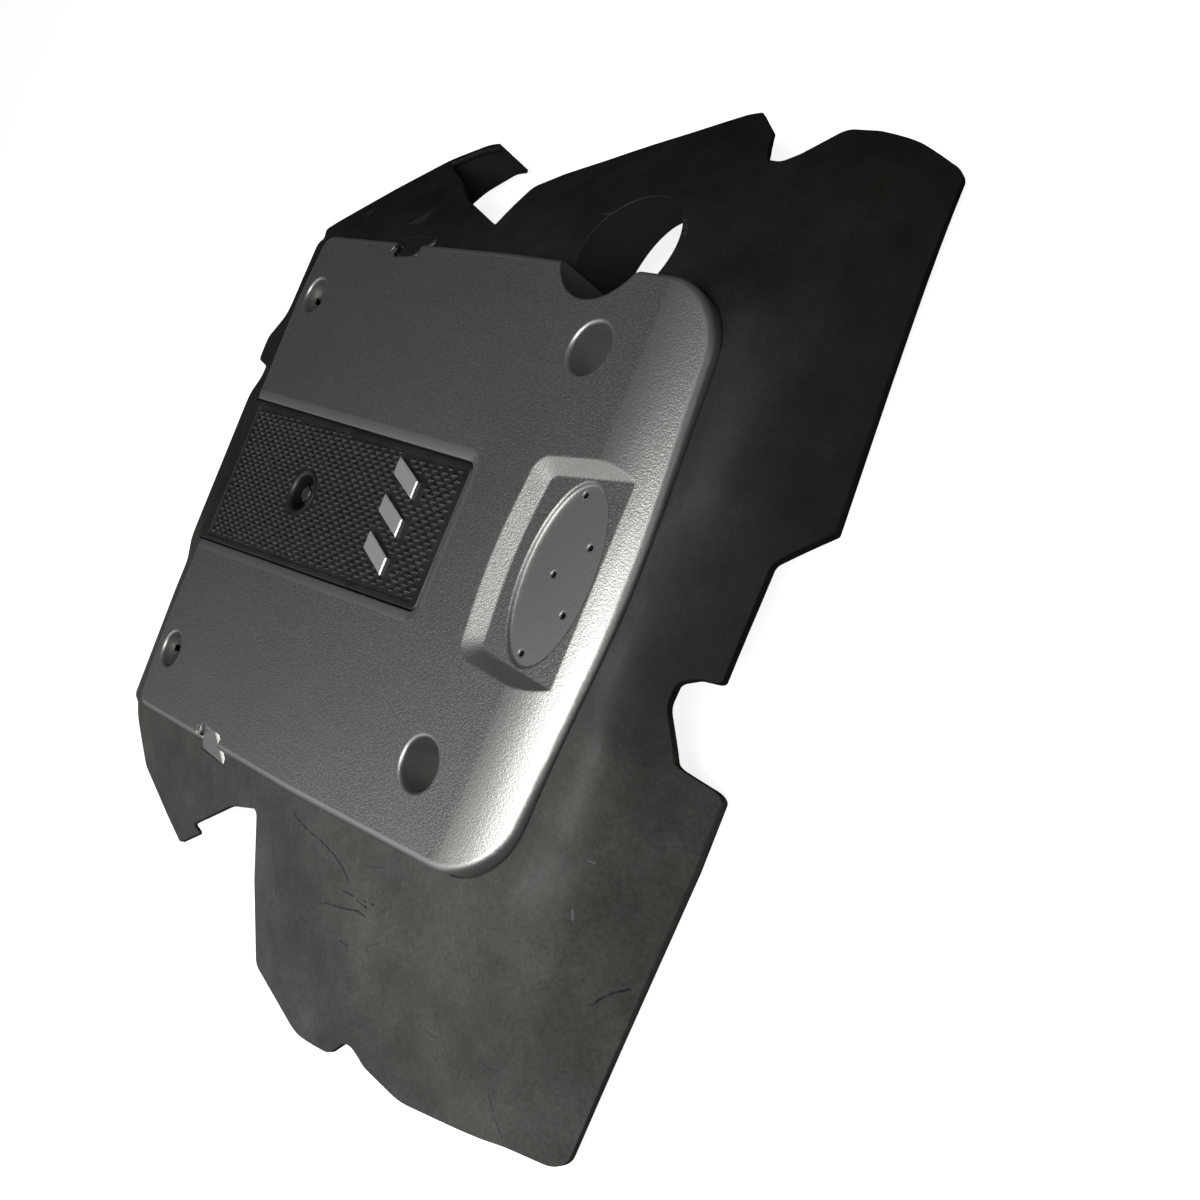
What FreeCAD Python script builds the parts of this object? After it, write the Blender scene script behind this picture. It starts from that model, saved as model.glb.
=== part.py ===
import FreeCAD, Part
import math
import os

import Sketcher

os.makedirs("parts", exist_ok=True)
doc = FreeCAD.newDocument("EngineCover")
V = FreeCAD.Vector

# Every driving size in millimetres (slopes are plain ratios). Levels are measured down from the
# top plane of the silver panel, y runs from the line of the front bolts towards the bulkhead.
SIZES = [
    ("overlap", 1.0, "how far a cutter or a joined form runs past what it meets"),
    ("base_wall", 3.0, "moulded wall of the base cover"),
    ("rim_level", 7.0, "depth of the base's rim below the panel's top plane"),
    ("right_rim_level", 11.5, "depth of the rim along the right bank"),
    ("rim_width", 22.0, "width of the base's rim behind the panel"),
    ("middle_rim_level", 3.0, "depth of the rim behind the insert"),
    ("left_slope", 0.25, "fall of the left bank for each millimetre outwards"),
    ("right_slope", 0.03, "fall of the right bank where it starts"),
    ("right_curl", 0.0022, "how fast that bank gets steeper outwards"),
    ("left_flap_slope", 0.43, "fall of the left rear flap"),
    ("right_flap_slope", 0.39, "fall of the right rear flap"),
    ("flap_start", 150.0, "y where the banks turn into the flaps"),
    ("flap_blend", 60.0, "length of that change"),
    ("step_line", 34.0, "distance of the step between the banks ahead of the front bolts"),
    ("step_lean", 0.50, "how much the left step swings back outwards"),
    ("step_lean_right", 0.05, "how much the right step swings back"),
    ("step_width", 34.0, "width of the step"),
    ("step_drop_middle", 6.0, "height of the step in front of the panel"),
    ("step_drop_side", 7.0, "extra height of the step at the sides"),
    ("front_tilt", 0.12, "fall of the lower bank forwards"),
    ("front_bend", 104.0, "distance of the front bend ahead of the front bolts"),
    ("front_reach", 142.0, "distance of the front edge ahead of the front bolts"),
    ("front_level", 77.0, "depth of the front edge on the left"),
    ("right_front_level", 79.5, "depth of the front edge on the right"),
    ("scoop_half", 46.0, "half width of the hose scoop at its top"),
    ("scoop_flare", 0.95, "how fast the scoop widens"),
    ("scoop_x", -4.0, "middle of the scoop"),
    ("scoop_top", 97.0, "distance of the scoop's upper edge ahead of the front bolts"),
    ("scoop_level", 13.0, "depth of the scoop's upper edge"),
    ("scoop_slope", 1.38, "fall of the scoop for each millimetre forwards"),
    ("apron_level", 14.5, "depth of the base at the panel's front edge"),
    ("apron_width", 26.0, "width over which the apron joins the banks"),
    ("panel_wall", 2.5, "moulded wall of the silver panel"),
    ("panel_depth", 16.0, "height of the panel's skirt, down to the pocket floor"),
    ("panel_rear_half", 204.5, "half width of the panel at its rear edge"),
    ("panel_rear_y", 361.0, "y of the panel's rear edge"),
    ("panel_rear_round", 13.0, "corner radius at the rear"),
    ("panel_rear_bow", 2.0, "how far the rear edge stands back in its middle"),
    ("panel_rear_turn", 150.0, "half length of that middle stretch"),
    ("panel_rear_drop", 5.0, "how far the rear corners stand ahead of the rear edge"),
    ("panel_mid_half", 185.5, "half width of the panel at its waist"),
    ("panel_mid_y", 110.0, "y of the waist"),
    ("panel_front_half", 166.5, "half width of the panel at the front"),
    ("panel_side_y", 77.0, "distance of the front corners ahead of the front bolts"),
    ("panel_nose_y", 87.5, "distance of the panel's nose ahead of the front bolts"),
    ("panel_front_round", 45.0, "corner radius at the front"),
    ("panel_edge_round", 5.0, "radius of the rolled top edge"),
    ("panel_fall_y", 38.0, "distance ahead of the front bolts where the panel starts to fall"),
    ("panel_fall_radius", 108.0, "radius of the falling front"),
    ("pocket_gap", 1.0, "gap between a panel edge and the pocket it sits in"),
    ("pocket_wall", 3.0, "wall round the pocket"),
    ("front_bolt_half", 125.0, "half spacing of the front bolts"),
    ("rear_bolt_half", 151.3, "half spacing of the rear bolts"),
    ("rear_bolt_y", 334.1, "y of the rear bolts"),
    ("front_well_radius", 15.8, "radius of a front well below its lip"),
    ("front_well_foot", 13.5, "radius of a front well at its floor"),
    ("front_well_depth", 34.0, "depth of a front well"),
    ("rear_well_radius", 14.0, "radius of a rear well below its lip"),
    ("rear_well_depth", 14.0, "depth of the rear collar"),
    ("well_lip", 2.0, "radius of a well's rounded lip"),
    ("well_clearance", 0.6, "gap between a well and the cup of the base round it"),
    ("recess_rear_y", 8.7, "y of the front recess's rear edge"),
    ("recess_bow", 3.4, "bow of that edge"),
    ("recess_bow_round", 260.0, "radius of that bow"),
    ("recess_rear_half", 60.5, "half width of the recess at the rear"),
    ("recess_front_half", 71.0, "half width of the recess at the front"),
    ("recess_round", 14.0, "corner radius of the recess"),
    ("recess_depth", 4.5, "depth of the recess"),
    ("recess_rear_run", 13.0, "width of the recess's sloping rear wall"),
    ("recess_side_run", 8.5, "width of its sloping side walls"),
    ("seat_half_x", 53.2, "half length of the oval seat"),
    ("seat_half_y", 27.5, "half height of the oval seat"),
    ("seat_y", 40.0, "distance of the seat's centre ahead of the front bolts"),
    ("seat_depth", 2.2, "depth of the oval seat"),
    ("seat_run", 1.3, "width of the slope round the oval seat"),
    ("seat_hole_radius", 1.9, "radius of the seat's locating holes"),
    ("insert_drop", 2.0, "depth of the insert's rim below the panel's top plane"),
    ("insert_front_y", 60.0, "y of the insert's front edge"),
    ("insert_front_half", 47.8, "half width of the insert at the front"),
    ("insert_rear_y", 371.0, "y of the insert's rear edge"),
    ("insert_rear_half", 61.0, "half width of the insert at the rear"),
    ("insert_round", 5.0, "corner radius of the insert"),
    ("insert_rim", 4.5, "width of the smooth rim round the knurled field"),
    ("insert_rear_rim", 16.0, "width of the smooth rim behind the field"),
    ("insert_field_drop", 0.8, "depth of the field below the rim"),
    ("insert_field_round", 2.0, "corner radius of the field"),
    ("insert_edge_round", 1.6, "radius of the insert's top edge"),
    ("dip_run", 9.0, "width of the panel's slope down to the insert"),
    ("centre_bolt_y", 241.0, "y of the centre bolt"),
    ("centre_well_radius", 13.0, "radius of the insert's well below its lip"),
    ("centre_well_lip", 3.2, "radius of that well's rounded lip"),
    ("filler_x", 192.0, "x of the oil filler opening"),
    ("filler_y", 19.0, "y of the oil filler opening"),
    ("filler_radius", 38.0, "radius of the oil filler opening"),
    ("filler_wall", 3.0, "wall of the base's half of the filler tube"),
    ("filler_depth", 46.7, "depth of that half in its middle"),
    ("filler_slant", 0.33, "how much deeper it gets towards the rear"),
    ("filler_panel_depth", 52.0, "depth of the panel's half of the filler tube"),
    ("bore_radius", 3.4, "clearance hole of a sleeve for an M6 screw"),
    ("sleeve_wall", 1.6, "wall of a compression sleeve"),
    ("sleeve_flange_radius", 8.5, "radius of a sleeve's flange"),
    ("sleeve_flange", 1.2, "thickness of a sleeve's flange"),
    ("grommet_wall", 2.8, "rubber between a sleeve and the base"),
    ("grommet_flange_radius", 11.0, "radius of a grommet's flanges"),
    ("grommet_top", 2.0, "thickness of a grommet's upper flange"),
    ("grommet_foot", 6.0, "thickness of a grommet's lower flange"),
    ("fit_gap", 0.1, "radial clearance of a sliding fit"),
    ("stud_radius", 2.4, "radius of a fixing stud"),
    ("stud_length", 7.0, "length of a stud below the pocket floor"),
    ("stud_boss_radius", 5.0, "radius of the boss that carries a stud"),
    ("nut_radius", 7.5, "radius of a push nut"),
    ("nut_thickness", 1.4, "thickness of a push nut"),
    ("nut_crown", 3.0, "height of a push nut's crown"),
    ("bolt_head_flat", 10.0, "width across the flats of the centre bolt"),
    ("bolt_head_height", 5.0, "height of its head"),
    ("bolt_flange_radius", 7.5, "radius of the flange under its head"),
    ("bolt_flange_height", 1.25, "thickness of that flange"),
    ("bolt_radius", 3.0, "radius of its shank"),
    ("bolt_reach", 9.0, "length of the shank below its sleeve"),
    ("washer_radius", 9.0, "radius of its washer"),
    ("washer_thickness", 1.6, "thickness of its washer"),
    ("bar_width", 12.0, "width of a trim bar"),
    ("bar_length", 29.0, "length of a trim bar"),
    ("bar_pitch", 26.0, "spacing of the trim bars"),
    ("bar_height", 3.6, "height of a trim bar"),
    ("bar_edge", 0.8, "bevel of a trim bar"),
    ("bar_lean", 13.0, "sideways lean of a trim bar over its length"),
    ("bar_x", 3.0, "x of the middle bar"),
    ("bar_y", 119.0, "y of the bars"),
    ("notch_x", 183.0, "distance of a side notch's inner edge from the middle"),
    ("notch_front", 210.5, "y of the front end of a side notch"),
    ("notch_rear", 256.0, "y of its rear end at the inner edge"),
    ("notch_rear_outer", 241.0, "y of its rear end at the panel's edge"),
    ("tab_reach", 202.5, "distance of a side tab's outer edge from the middle"),
    ("tab_rear", 246.0, "y of a side tab's rear end"),
    ("tab_inner_level", 1.4, "depth of a tab's top at the notch"),
    ("tab_outer_level", 9.3, "depth of a tab's top at its outer edge"),
    ("tab_thickness", 2.2, "thickness of a side tab"),
    ("tab_ramp", 16.0, "length of the sloping front of a tab"),
    ("key_width", 5.0, "width of the key slot at the foot of a rear collar"),
    ("key_height", 4.5, "height of that slot"),
    ("skirt_level", 80.0, "depth of the skirt under the right flap's tip"),
    ("skirt_knee_y", 308.0, "y where that skirt's foot starts to rise"),
    ("skirt_rise", 0.9, "how fast it rises from there to the rear"),
]
sheet = doc.addObject("Spreadsheet::Sheet", "Sizes")
for row, (alias, value, meaning) in enumerate(SIZES, start=1):
    sheet.set(f"A{row}", alias)
    sheet.set(f"B{row}", str(value))
    sheet.set(f"C{row}", meaning)
    sheet.setAlias(f"B{row}", alias)
doc.recompute()


def size(alias):
    """Value of one cell of the sheet."""
    return float(getattr(sheet, alias))


# How far cutters reach above and below the cover, the gap round a side tab, the tolerance of
# comparisons, the least corner radius, the steps of a rounded lip and the bend that counts as none.
SKY = 40.0
DEEP = 260.0
OVERLAP = size("overlap")
TAB_GAP = 0.8
TINY = 0.01
LEAST_RADIUS = 0.2
LIP_STEPS = 6
STRAIGHT = 0.002

# Levels and radii that follow from the driving sizes.
floor_level = -size("panel_depth")
floor_under = floor_level - size("base_wall")
front_floor = -size("front_well_depth") - size("panel_wall") - size("well_clearance")
sleeve_radius = size("bore_radius") + size("sleeve_wall")
grommet_bore = sleeve_radius + size("fit_gap")
grommet_radius = grommet_bore + size("grommet_wall")
base_bore = grommet_radius + size("fit_gap")
seat_level = front_floor - size("base_wall") - size("grommet_foot")


# Plan outlines: closed wires of straight sides with rounded corners.

def grown(points, distance):
    """The (x, y, radius) outline moved outwards by a distance, or inwards if it is negative."""
    count = len(points)
    area = 0.0
    for index in range(count):
        x1, y1 = points[index][:2]
        x2, y2 = points[(index + 1) % count][:2]
        area += x1 * y2 - x2 * y1
    turn = 1.0 if area > 0 else -1.0
    result = []
    for index in range(count):
        before = V(points[index - 1][0], points[index - 1][1], 0)
        here = V(points[index][0], points[index][1], 0)
        after = V(points[(index + 1) % count][0], points[(index + 1) % count][1], 0)
        along_in = (here - before).normalize()
        along_out = (after - here).normalize()
        normal_in = V(along_in.y * turn, -along_in.x * turn, 0)
        normal_out = V(along_out.y * turn, -along_out.x * turn, 0)
        middle = normal_in + normal_out
        moved = here + middle * (2 * distance / middle.dot(middle))
        convex = (along_in.x * along_out.y - along_in.y * along_out.x) * turn > 0
        radius = points[index][2]
        if radius > 0:
            radius = max(LEAST_RADIUS, radius + distance if convex else radius - distance)
        result.append((moved.x, moved.y, radius))
    return result


def wire_of(points, level):
    """Closed wire at one level through the (x, y, radius) outline."""
    corners = []
    count = len(points)
    for index in range(count):
        here = V(points[index][0], points[index][1], level)
        before = V(points[index - 1][0], points[index - 1][1], level)
        after = V(points[(index + 1) % count][0], points[(index + 1) % count][1], level)
        back = (before - here).normalize()
        ahead = (after - here).normalize()
        radius = points[index][2]
        half = back.getAngle(ahead) / 2
        if radius <= 0 or math.cos(half) < STRAIGHT:
            corners.append((here, None, here))
            continue
        run = radius / math.tan(half)
        bisector = (back + ahead).normalize()
        crown = here + bisector * (radius / math.sin(half) - radius)
        corners.append((here + back * run, crown, here + ahead * run))
    edges = []
    for index in range(count):
        start, crown, end = corners[index]
        if crown is not None:
            edges.append(Part.Arc(start, crown, end).toShape())
        following = corners[(index + 1) % count][0]
        if end.distanceToPoint(following) > TINY / 10:
            edges.append(Part.LineSegment(end, following).toShape())
    return Part.Wire(edges)


def prism(points, bottom, top):
    """Upright solid between two levels on the outline."""
    return Part.Face(wire_of(points, bottom)).extrude(V(0, 0, top - bottom))


def mirrored(points):
    """A right half outline, from rear to front, completed with its left half."""
    left = [(-x, y, radius) for x, y, radius in reversed(points) if x > 0]
    return points + left


def turned(profile, x, y):
    """Solid of revolution about the upright line through (x, y), from (radius, level) points."""
    wire = Part.makePolygon([V(r, 0, level) for r, level in profile] + [V(profile[0][0], 0, profile[0][1])])
    solid = Part.Face(wire).revolve(V(0, 0, 0), V(0, 0, 1), 360)
    solid.translate(V(x, y, 0))
    return solid


panel_outline = mirrored([
    (0.0, size("panel_rear_y") + size("panel_rear_bow"), 0.0),
    (size("panel_rear_turn"), size("panel_rear_y") + size("panel_rear_bow"), 60.0),
    (size("panel_rear_half"), size("panel_rear_y") - size("panel_rear_drop"), size("panel_rear_round")),
    (size("panel_mid_half"), size("panel_mid_y"), 500.0),
    (size("panel_front_half"), -size("panel_side_y"), size("panel_front_round")),
    (0.0, -size("panel_nose_y"), 800.0),
])
insert_outline = mirrored([
    (size("insert_rear_half"), size("insert_rear_y"), size("insert_round")),
    (size("insert_front_half"), size("insert_front_y"), size("insert_round")),
])
rear_edge = size("panel_rear_y") + size("rim_width")
front_edge = -size("front_reach")

# Outline of the base cover seen from above, clockwise from the middle of the rear rim. Each
# point is (x, y, corner radius) and was chosen by hand along the moulding's edge.
REAR_RIM = [
    (0.0, rear_edge, 0.0),
    (91.0, rear_edge, 3.0),
    (96.0, rear_edge + 17.0, 5.0),
    (116.0, rear_edge + 17.0, 12.0),
    (138.0, rear_edge, 25.0),
    (201.0, rear_edge - 3.0, 8.0),
]
RIGHT_FLAP = [
    (205.5, rear_edge - 10.0, 3.0),
    (214.0, rear_edge - 5.0, 3.0),
    (260.0, 329.0, 90.0),
    (291.0, 291.0, 60.0),
    (305.0, 258.0, 25.0),
    (305.5, 245.0, 1.5),
    (300.0, 244.5, 1.5),
    (298.5, 262.0, 12.0),
    (286.0, 287.5, 1.5),
    (263.0, 247.0, 60.0),
    (244.0, 222.0, 10.0),
]
RIGHT_BANK = [
    (213.0, 155.0, 2.0),
    (244.0, 139.5, 12.0),
    (254.0, 117.0, 40.0),
    (264.5, 87.0, 80.0),
    (287.5, 33.0, 80.0),
    (302.0, 6.0, 12.0),
    (303.5, -3.0, 4.0),
    (286.0, -21.5, 6.0),
    (262.5, -32.5, 3.0),
    (263.0, -40.0, 6.0),
    (271.0, -46.5, 10.0),
    (294.5, -59.5, 7.0),
    (290.0, -83.0, 30.0),
    (280.5, -111.0, 20.0),
    (270.0, front_edge + 7.0, 8.0),
    (73.0, front_edge, 5.0),
]
HOSE_SCOOP = [
    (45.0, front_edge + 13.5, 12.0),
    (-21.5, front_edge + 13.5, 3.0),
    (-23.5, front_edge + 21.0, 4.0),
    (-29.0, front_edge + 26.5, 6.0),
    (-42.0, front_edge + 26.8, 20.0),
    (-68.5, front_edge + 17.0, 5.0),
    (-74.0, front_edge, 6.0),
]
LEFT_BANK = [
    (-115.0, front_edge - 0.5, 0.0),
    (-285.5, front_edge + 1.5, 10.0),
    (-287.0, -112.0, 40.0),
    (-313.0, -32.0, 60.0),
    (-314.0, 6.0, 16.0),
    (-306.0, 21.0, 7.0),
    (-322.0, 34.0, 9.0),
    (-325.0, 64.0, 40.0),
    (-309.5, 122.0, 9.0),
    (-258.0, 142.0, 0.0),
    (-213.0, 154.0, 5.0),
]
LEFT_FLAP = [
    (-228.0, 200.0, 60.0),
    (-262.0, 256.0, 20.0),
    (-266.5, 263.0, 1.0),
    (-269.0, 251.5, 1.5),
    (-291.5, 288.0, 5.0),
    (-278.0, 312.0, 60.0),
    (-253.0, 351.0, 12.0),
    (-207.0, 369.0, 5.0),
    (-203.0, rear_edge - 4.0, 6.0),
    (-110.0, rear_edge, 0.0),
]
base_outline = REAR_RIM + RIGHT_FLAP + RIGHT_BANK + HOSE_SCOOP + LEFT_BANK + LEFT_FLAP


# Height of the base's top face.

def eased(ratio):
    """Smooth step from 0 to 1."""
    ratio = min(1.0, max(0.0, ratio))
    return ratio * ratio * (3 - 2 * ratio)


def rounded(value, radius):
    """The value where it is positive, otherwise 0, with the corner rounded."""
    return (value + math.hypot(value, radius)) / 2


# The height function runs many times, so it takes the sizes from a dictionary. These are the
# softness of its bends and the places where one form blends into the next, in millimetres.
levels = {alias: value for alias, value, meaning in SIZES}
SOFT = 4.0
FRONT_BEND_SOFTNESS = 0.3
RIM_CHANGE = 40.0
STEP_START = 100.0
STEP_GROWTH = 80.0
STEP_FAN = 0.10
SCOOP_EDGE = 14.0
MIDDLE_SHOULDER = 18.0
MIDDLE_BLEND = 12.0
BACK_START = 20.0
BACK_BLEND = 15.0


def panel_half(y):
    """Half width of the panel at y."""
    front_y = -levels["panel_side_y"]
    share = (y - front_y) / (levels["panel_mid_y"] - front_y)
    return levels["panel_front_half"] + (levels["panel_mid_half"] - levels["panel_front_half"]) * share


def side_fall(x, out, flap):
    """How far the bank and the flap have fallen at a distance out from the panel."""
    if x < 0:
        bank_fall = levels["left_slope"] * out
        flap_slope = levels["left_flap_slope"]
    else:
        bank_fall = levels["right_slope"] * out + levels["right_curl"] * out ** 2
        flap_slope = levels["right_flap_slope"]
    return bank_fall * (1 - flap) + flap_slope * out * flap


def height(x, y):
    """Level of the base's top face at a place in plan."""
    side = abs(x)
    out = rounded(side - panel_half(y), SOFT)
    flap = eased((y - levels["flap_start"]) / levels["flap_blend"])
    right = eased((x + RIM_CHANGE) / (2 * RIM_CHANGE))
    rim = levels["rim_level"] + (levels["right_rim_level"] - levels["rim_level"]) * right * (1 - flap)
    level = -rim - side_fall(x, out, flap)
    beyond = max(0.0, side - levels["panel_mid_half"])
    lean = levels["step_lean"] if x < 0 else levels["step_lean_right"]
    line = -levels["step_line"] + lean * beyond
    width = levels["step_width"] + STEP_FAN * beyond
    drop = levels["step_drop_middle"] + levels["step_drop_side"] * eased((side - STEP_START) / STEP_GROWTH)
    level -= drop * eased((line - y) / width + 0.5)
    level -= levels["front_tilt"] * rounded(-levels["panel_nose_y"] - y, SOFT)
    ahead = (-levels["front_bend"] - y) / (levels["front_reach"] - levels["front_bend"])
    if ahead > 0:
        bend = math.hypot(ahead, FRONT_BEND_SOFTNESS) - FRONT_BEND_SOFTNESS
        bend /= math.hypot(1, FRONT_BEND_SOFTNESS) - FRONT_BEND_SOFTNESS
        front = levels["front_level"] + (levels["right_front_level"] - levels["front_level"]) * right
        level = level * (1 - bend) - front * bend
    if y < -levels["panel_nose_y"]:
        half = levels["scoop_half"] + rounded(-levels["scoop_top"] - y, SOFT) * levels["scoop_flare"]
        inside = eased((half - abs(x - levels["scoop_x"])) / SCOOP_EDGE + 0.5)
        scoop = -levels["scoop_level"] - rounded(-levels["scoop_top"] - y, SOFT) * levels["scoop_slope"]
        if scoop < level:
            level = level * (1 - inside) + scoop * inside
    if level < -levels["apron_level"]:
        away_side = max(0.0, side - panel_half(y))
        away_front = max(0.0, -levels["panel_nose_y"] - y)
        near = 1 - eased(math.hypot(away_side, away_front) / levels["apron_width"])
        if y > -levels["scoop_top"]:
            level = level * (1 - near) - levels["apron_level"] * near
    middle = eased((levels["insert_rear_half"] + MIDDLE_SHOULDER - side) / MIDDLE_BLEND)
    back = eased((y - levels["panel_rear_y"] + BACK_START) / BACK_BLEND)
    level += (rim - levels["middle_rim_level"]) * middle * back
    return level


def underside(x, y):
    """Level of the base's lower face, one wall below the top face."""
    step = 1.0
    along_x = (height(x + step, y) - height(x - step, y)) / (2 * step)
    along_y = (height(x, y + step) - height(x, y - step)) / (2 * step)
    return height(x, y) - levels["base_wall"] * math.sqrt(1 + along_x ** 2 + along_y ** 2)


# The net of poles that carries the top face: its pitch, its first corner and its counts.
NET_PITCH = 9.0
NET_X = -342.0
NET_Y = -162.0
NET_COLUMNS = 76
NET_ROWS = 65


def face_of(level_at):
    """Smooth face over the whole plan that follows a height function."""
    xs = [NET_X + NET_PITCH * index for index in range(NET_COLUMNS)]
    ys = [NET_Y + NET_PITCH * index for index in range(NET_ROWS)]
    poles = [[V(x, y, level_at(x, y)) for y in ys] for x in xs]
    degree = 3
    x_knots = list(range(len(xs) - degree + 1))
    y_knots = list(range(len(ys) - degree + 1))
    x_mults = [degree + 1] + [1] * (len(x_knots) - 2) + [degree + 1]
    y_mults = [degree + 1] + [1] * (len(y_knots) - 2) + [degree + 1]
    surface = Part.BSplineSurface()
    surface.buildFromPolesMultsKnots(poles, x_mults, y_mults, x_knots, y_knots, False, False, degree, degree)
    return surface.toShape()


# The bolt points: (name, x, y, level of the floor that holds the grommet).
bolt_points = [
    ("front_left", -size("front_bolt_half"), 0.0, front_floor),
    ("front_right", size("front_bolt_half"), 0.0, front_floor),
    ("rear_left", -size("rear_bolt_half"), size("rear_bolt_y"), floor_level),
    ("rear_right", size("rear_bolt_half"), size("rear_bolt_y"), floor_level),
    ("centre", 0.0, size("centre_bolt_y"), floor_level),
]
# Studs moulded under the panel and the insert: (name, x, y).
panel_studs = [
    ("front_left", -88.0, -48.0),
    ("front_right", 88.0, -48.0),
    ("side_left", -158.0, 150.0),
    ("side_right", 158.0, 150.0),
    ("rear_left", -100.0, 320.0),
    ("rear_right", 100.0, 320.0),
]
insert_studs = [
    ("insert_front_left", -34.0, 80.0),
    ("insert_front_right", 34.0, 80.0),
    ("insert_rear_left", -44.0, 340.0),
    ("insert_rear_right", 44.0, 340.0),
]


def cup_radius():
    """Outer radius of the base's cup round a front well."""
    return size("front_well_radius") + size("panel_wall") + size("well_clearance") + size("base_wall")


def filler_column(radius):
    """An endless column on the axis of the oil filler."""
    return Part.makeCylinder(radius, SKY + DEEP, V(size("filler_x"), size("filler_y"), -DEEP))


def filler_tool(radius, top):
    """The filler tube's column with its slanted lower end."""
    reach = 2 * (radius + size("filler_wall"))
    low = size("filler_y") - reach
    high = size("filler_y") + reach
    left = size("filler_x") - reach
    start = -size("filler_depth")
    slope = size("filler_slant")
    corners = [
        V(left, low, start + slope * reach),
        V(left, high, start - slope * reach),
        V(left, high, top),
        V(left, low, top),
        V(left, low, start + slope * reach),
    ]
    wedge = Part.Face(Part.makePolygon(corners)).extrude(V(2 * reach, 0, 0))
    return filler_column(radius).common(wedge)


def tab_tool(side, gap):
    """The panel's sloping side tab; with a gap, the seat that the base leaves for it."""
    inner = size("notch_x") - size("panel_wall")
    outer = size("tab_reach") + gap
    front = size("notch_front") - gap
    rear = size("tab_rear") + gap
    slope = (size("tab_outer_level") - size("tab_inner_level")) / (size("tab_reach") - size("notch_x"))
    inner_level = -size("tab_inner_level") - slope * (inner - size("notch_x"))
    outer_level = -size("tab_inner_level") - slope * (outer - size("notch_x"))
    lift = SKY if gap > 0 else 0.0
    under = size("tab_thickness") + gap
    corners = [
        V(side * inner, front, inner_level + lift),
        V(side * outer, front, outer_level + lift),
        V(side * outer, front, outer_level - under),
        V(side * inner, front, inner_level - under),
        V(side * inner, front, inner_level + lift),
    ]
    tab = Part.Face(Part.makePolygon(corners)).extrude(V(0, rear - front, 0))
    if gap > 0:
        return tab
    ramp_end = front + size("tab_ramp")
    corners = [
        V(-outer - SKY, front - OVERLAP, outer_level),
        V(-outer - SKY, front, outer_level),
        V(-outer - SKY, ramp_end, inner_level),
        V(-outer - SKY, ramp_end, SKY),
        V(-outer - SKY, front - OVERLAP, SKY),
        V(-outer - SKY, front - OVERLAP, outer_level),
    ]
    return tab.cut(Part.Face(Part.makePolygon(corners)).extrude(V(2 * (outer + SKY), 0, 0)))


# Plan of the skirt that hangs under the right flap's outer edge, a wall's width inside it.
SKIRT_FRONT_Y = 236.0
RIGHT_SKIRT = [
    (246.0, 341.0, 0.0),
    (340.0, 341.0, 0.0),
    (340.0, SKIRT_FRONT_Y, 0.0),
    (302.4, SKIRT_FRONT_Y, 0.0),
    (302.1, 257.5, 22.0),
    (288.4, 289.6, 57.0),
    (257.6, 327.2, 87.0),
]


def flap_skirt():
    """The deep skirt under the right flap; its foot rises towards the rear."""
    reach = DEEP
    low = -size("skirt_level")
    knee = size("skirt_knee_y")
    corners = [
        V(0, SKIRT_FRONT_Y, low),
        V(0, knee, low),
        V(0, knee + reach, low + size("skirt_rise") * reach),
        V(0, knee + reach, 2 * SKY),
        V(0, SKIRT_FRONT_Y, 2 * SKY),
        V(0, SKIRT_FRONT_Y, low),
    ]
    wedge = Part.Face(Part.makePolygon(corners)).extrude(V(2 * reach, 0, 0))
    return prism(RIGHT_SKIRT, -DEEP, SKY).common(prism(base_outline, -DEEP, SKY)).common(wedge)


def make_base():
    """The charcoal base: one thin moulding with a pocket for the panel, two cups and the filler tube."""
    under_top = face_of(height).extrude(V(0, 0, -DEEP))
    under_wall = face_of(underside).extrude(V(0, 0, -DEEP - SKY))
    body = under_top.common(prism(base_outline, -DEEP, SKY))
    pocket = grown(panel_outline, size("pocket_gap"))
    insert_pocket = grown(insert_outline, size("pocket_gap"))
    kept = prism(grown(pocket, size("pocket_wall")), floor_under, SKY)
    kept = kept.fuse(prism(grown(insert_pocket, size("pocket_wall")), floor_under, SKY))
    for name, x, y, level in bolt_points[:2]:
        height_of_cup = floor_level - level + size("base_wall")
        kept = kept.fuse(Part.makeCylinder(cup_radius(), height_of_cup, V(x, y, level - size("base_wall"))))
    kept = kept.fuse(filler_tool(size("filler_radius") + size("filler_wall"), SKY))
    body = body.cut(under_wall.cut(kept))
    body = body.fuse(flap_skirt().common(under_top))
    body = body.cut(prism(pocket, floor_level, SKY))
    body = body.cut(prism(insert_pocket, floor_level, SKY))
    filler_room = filler_column(size("filler_radius") + size("panel_wall") + size("pocket_gap"))
    body = body.cut(filler_room.common(prism(pocket, -DEEP, SKY)))
    body = body.cut(filler_column(size("filler_radius")))
    for side in (-1, 1):
        body = body.cut(tab_tool(side, TAB_GAP))
    for name, x, y, level in bolt_points[:2]:
        room = cup_radius() - size("base_wall")
        body = body.cut(Part.makeCylinder(room, SKY, V(x, y, level)))
    for name, x, y, level in bolt_points:
        body = body.cut(Part.makeCylinder(base_bore, DEEP, V(x, y, level - DEEP / 2)))
    for name, x, y in panel_studs + insert_studs:
        hole = size("stud_radius") + size("fit_gap")
        body = body.cut(Part.makeCylinder(hole, SKY, V(x, y, floor_level - SKY / 2)))
    return body


# The panel's falling front turns through this angle before it is cut off.
FALL_TURN = math.radians(50)


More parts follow.
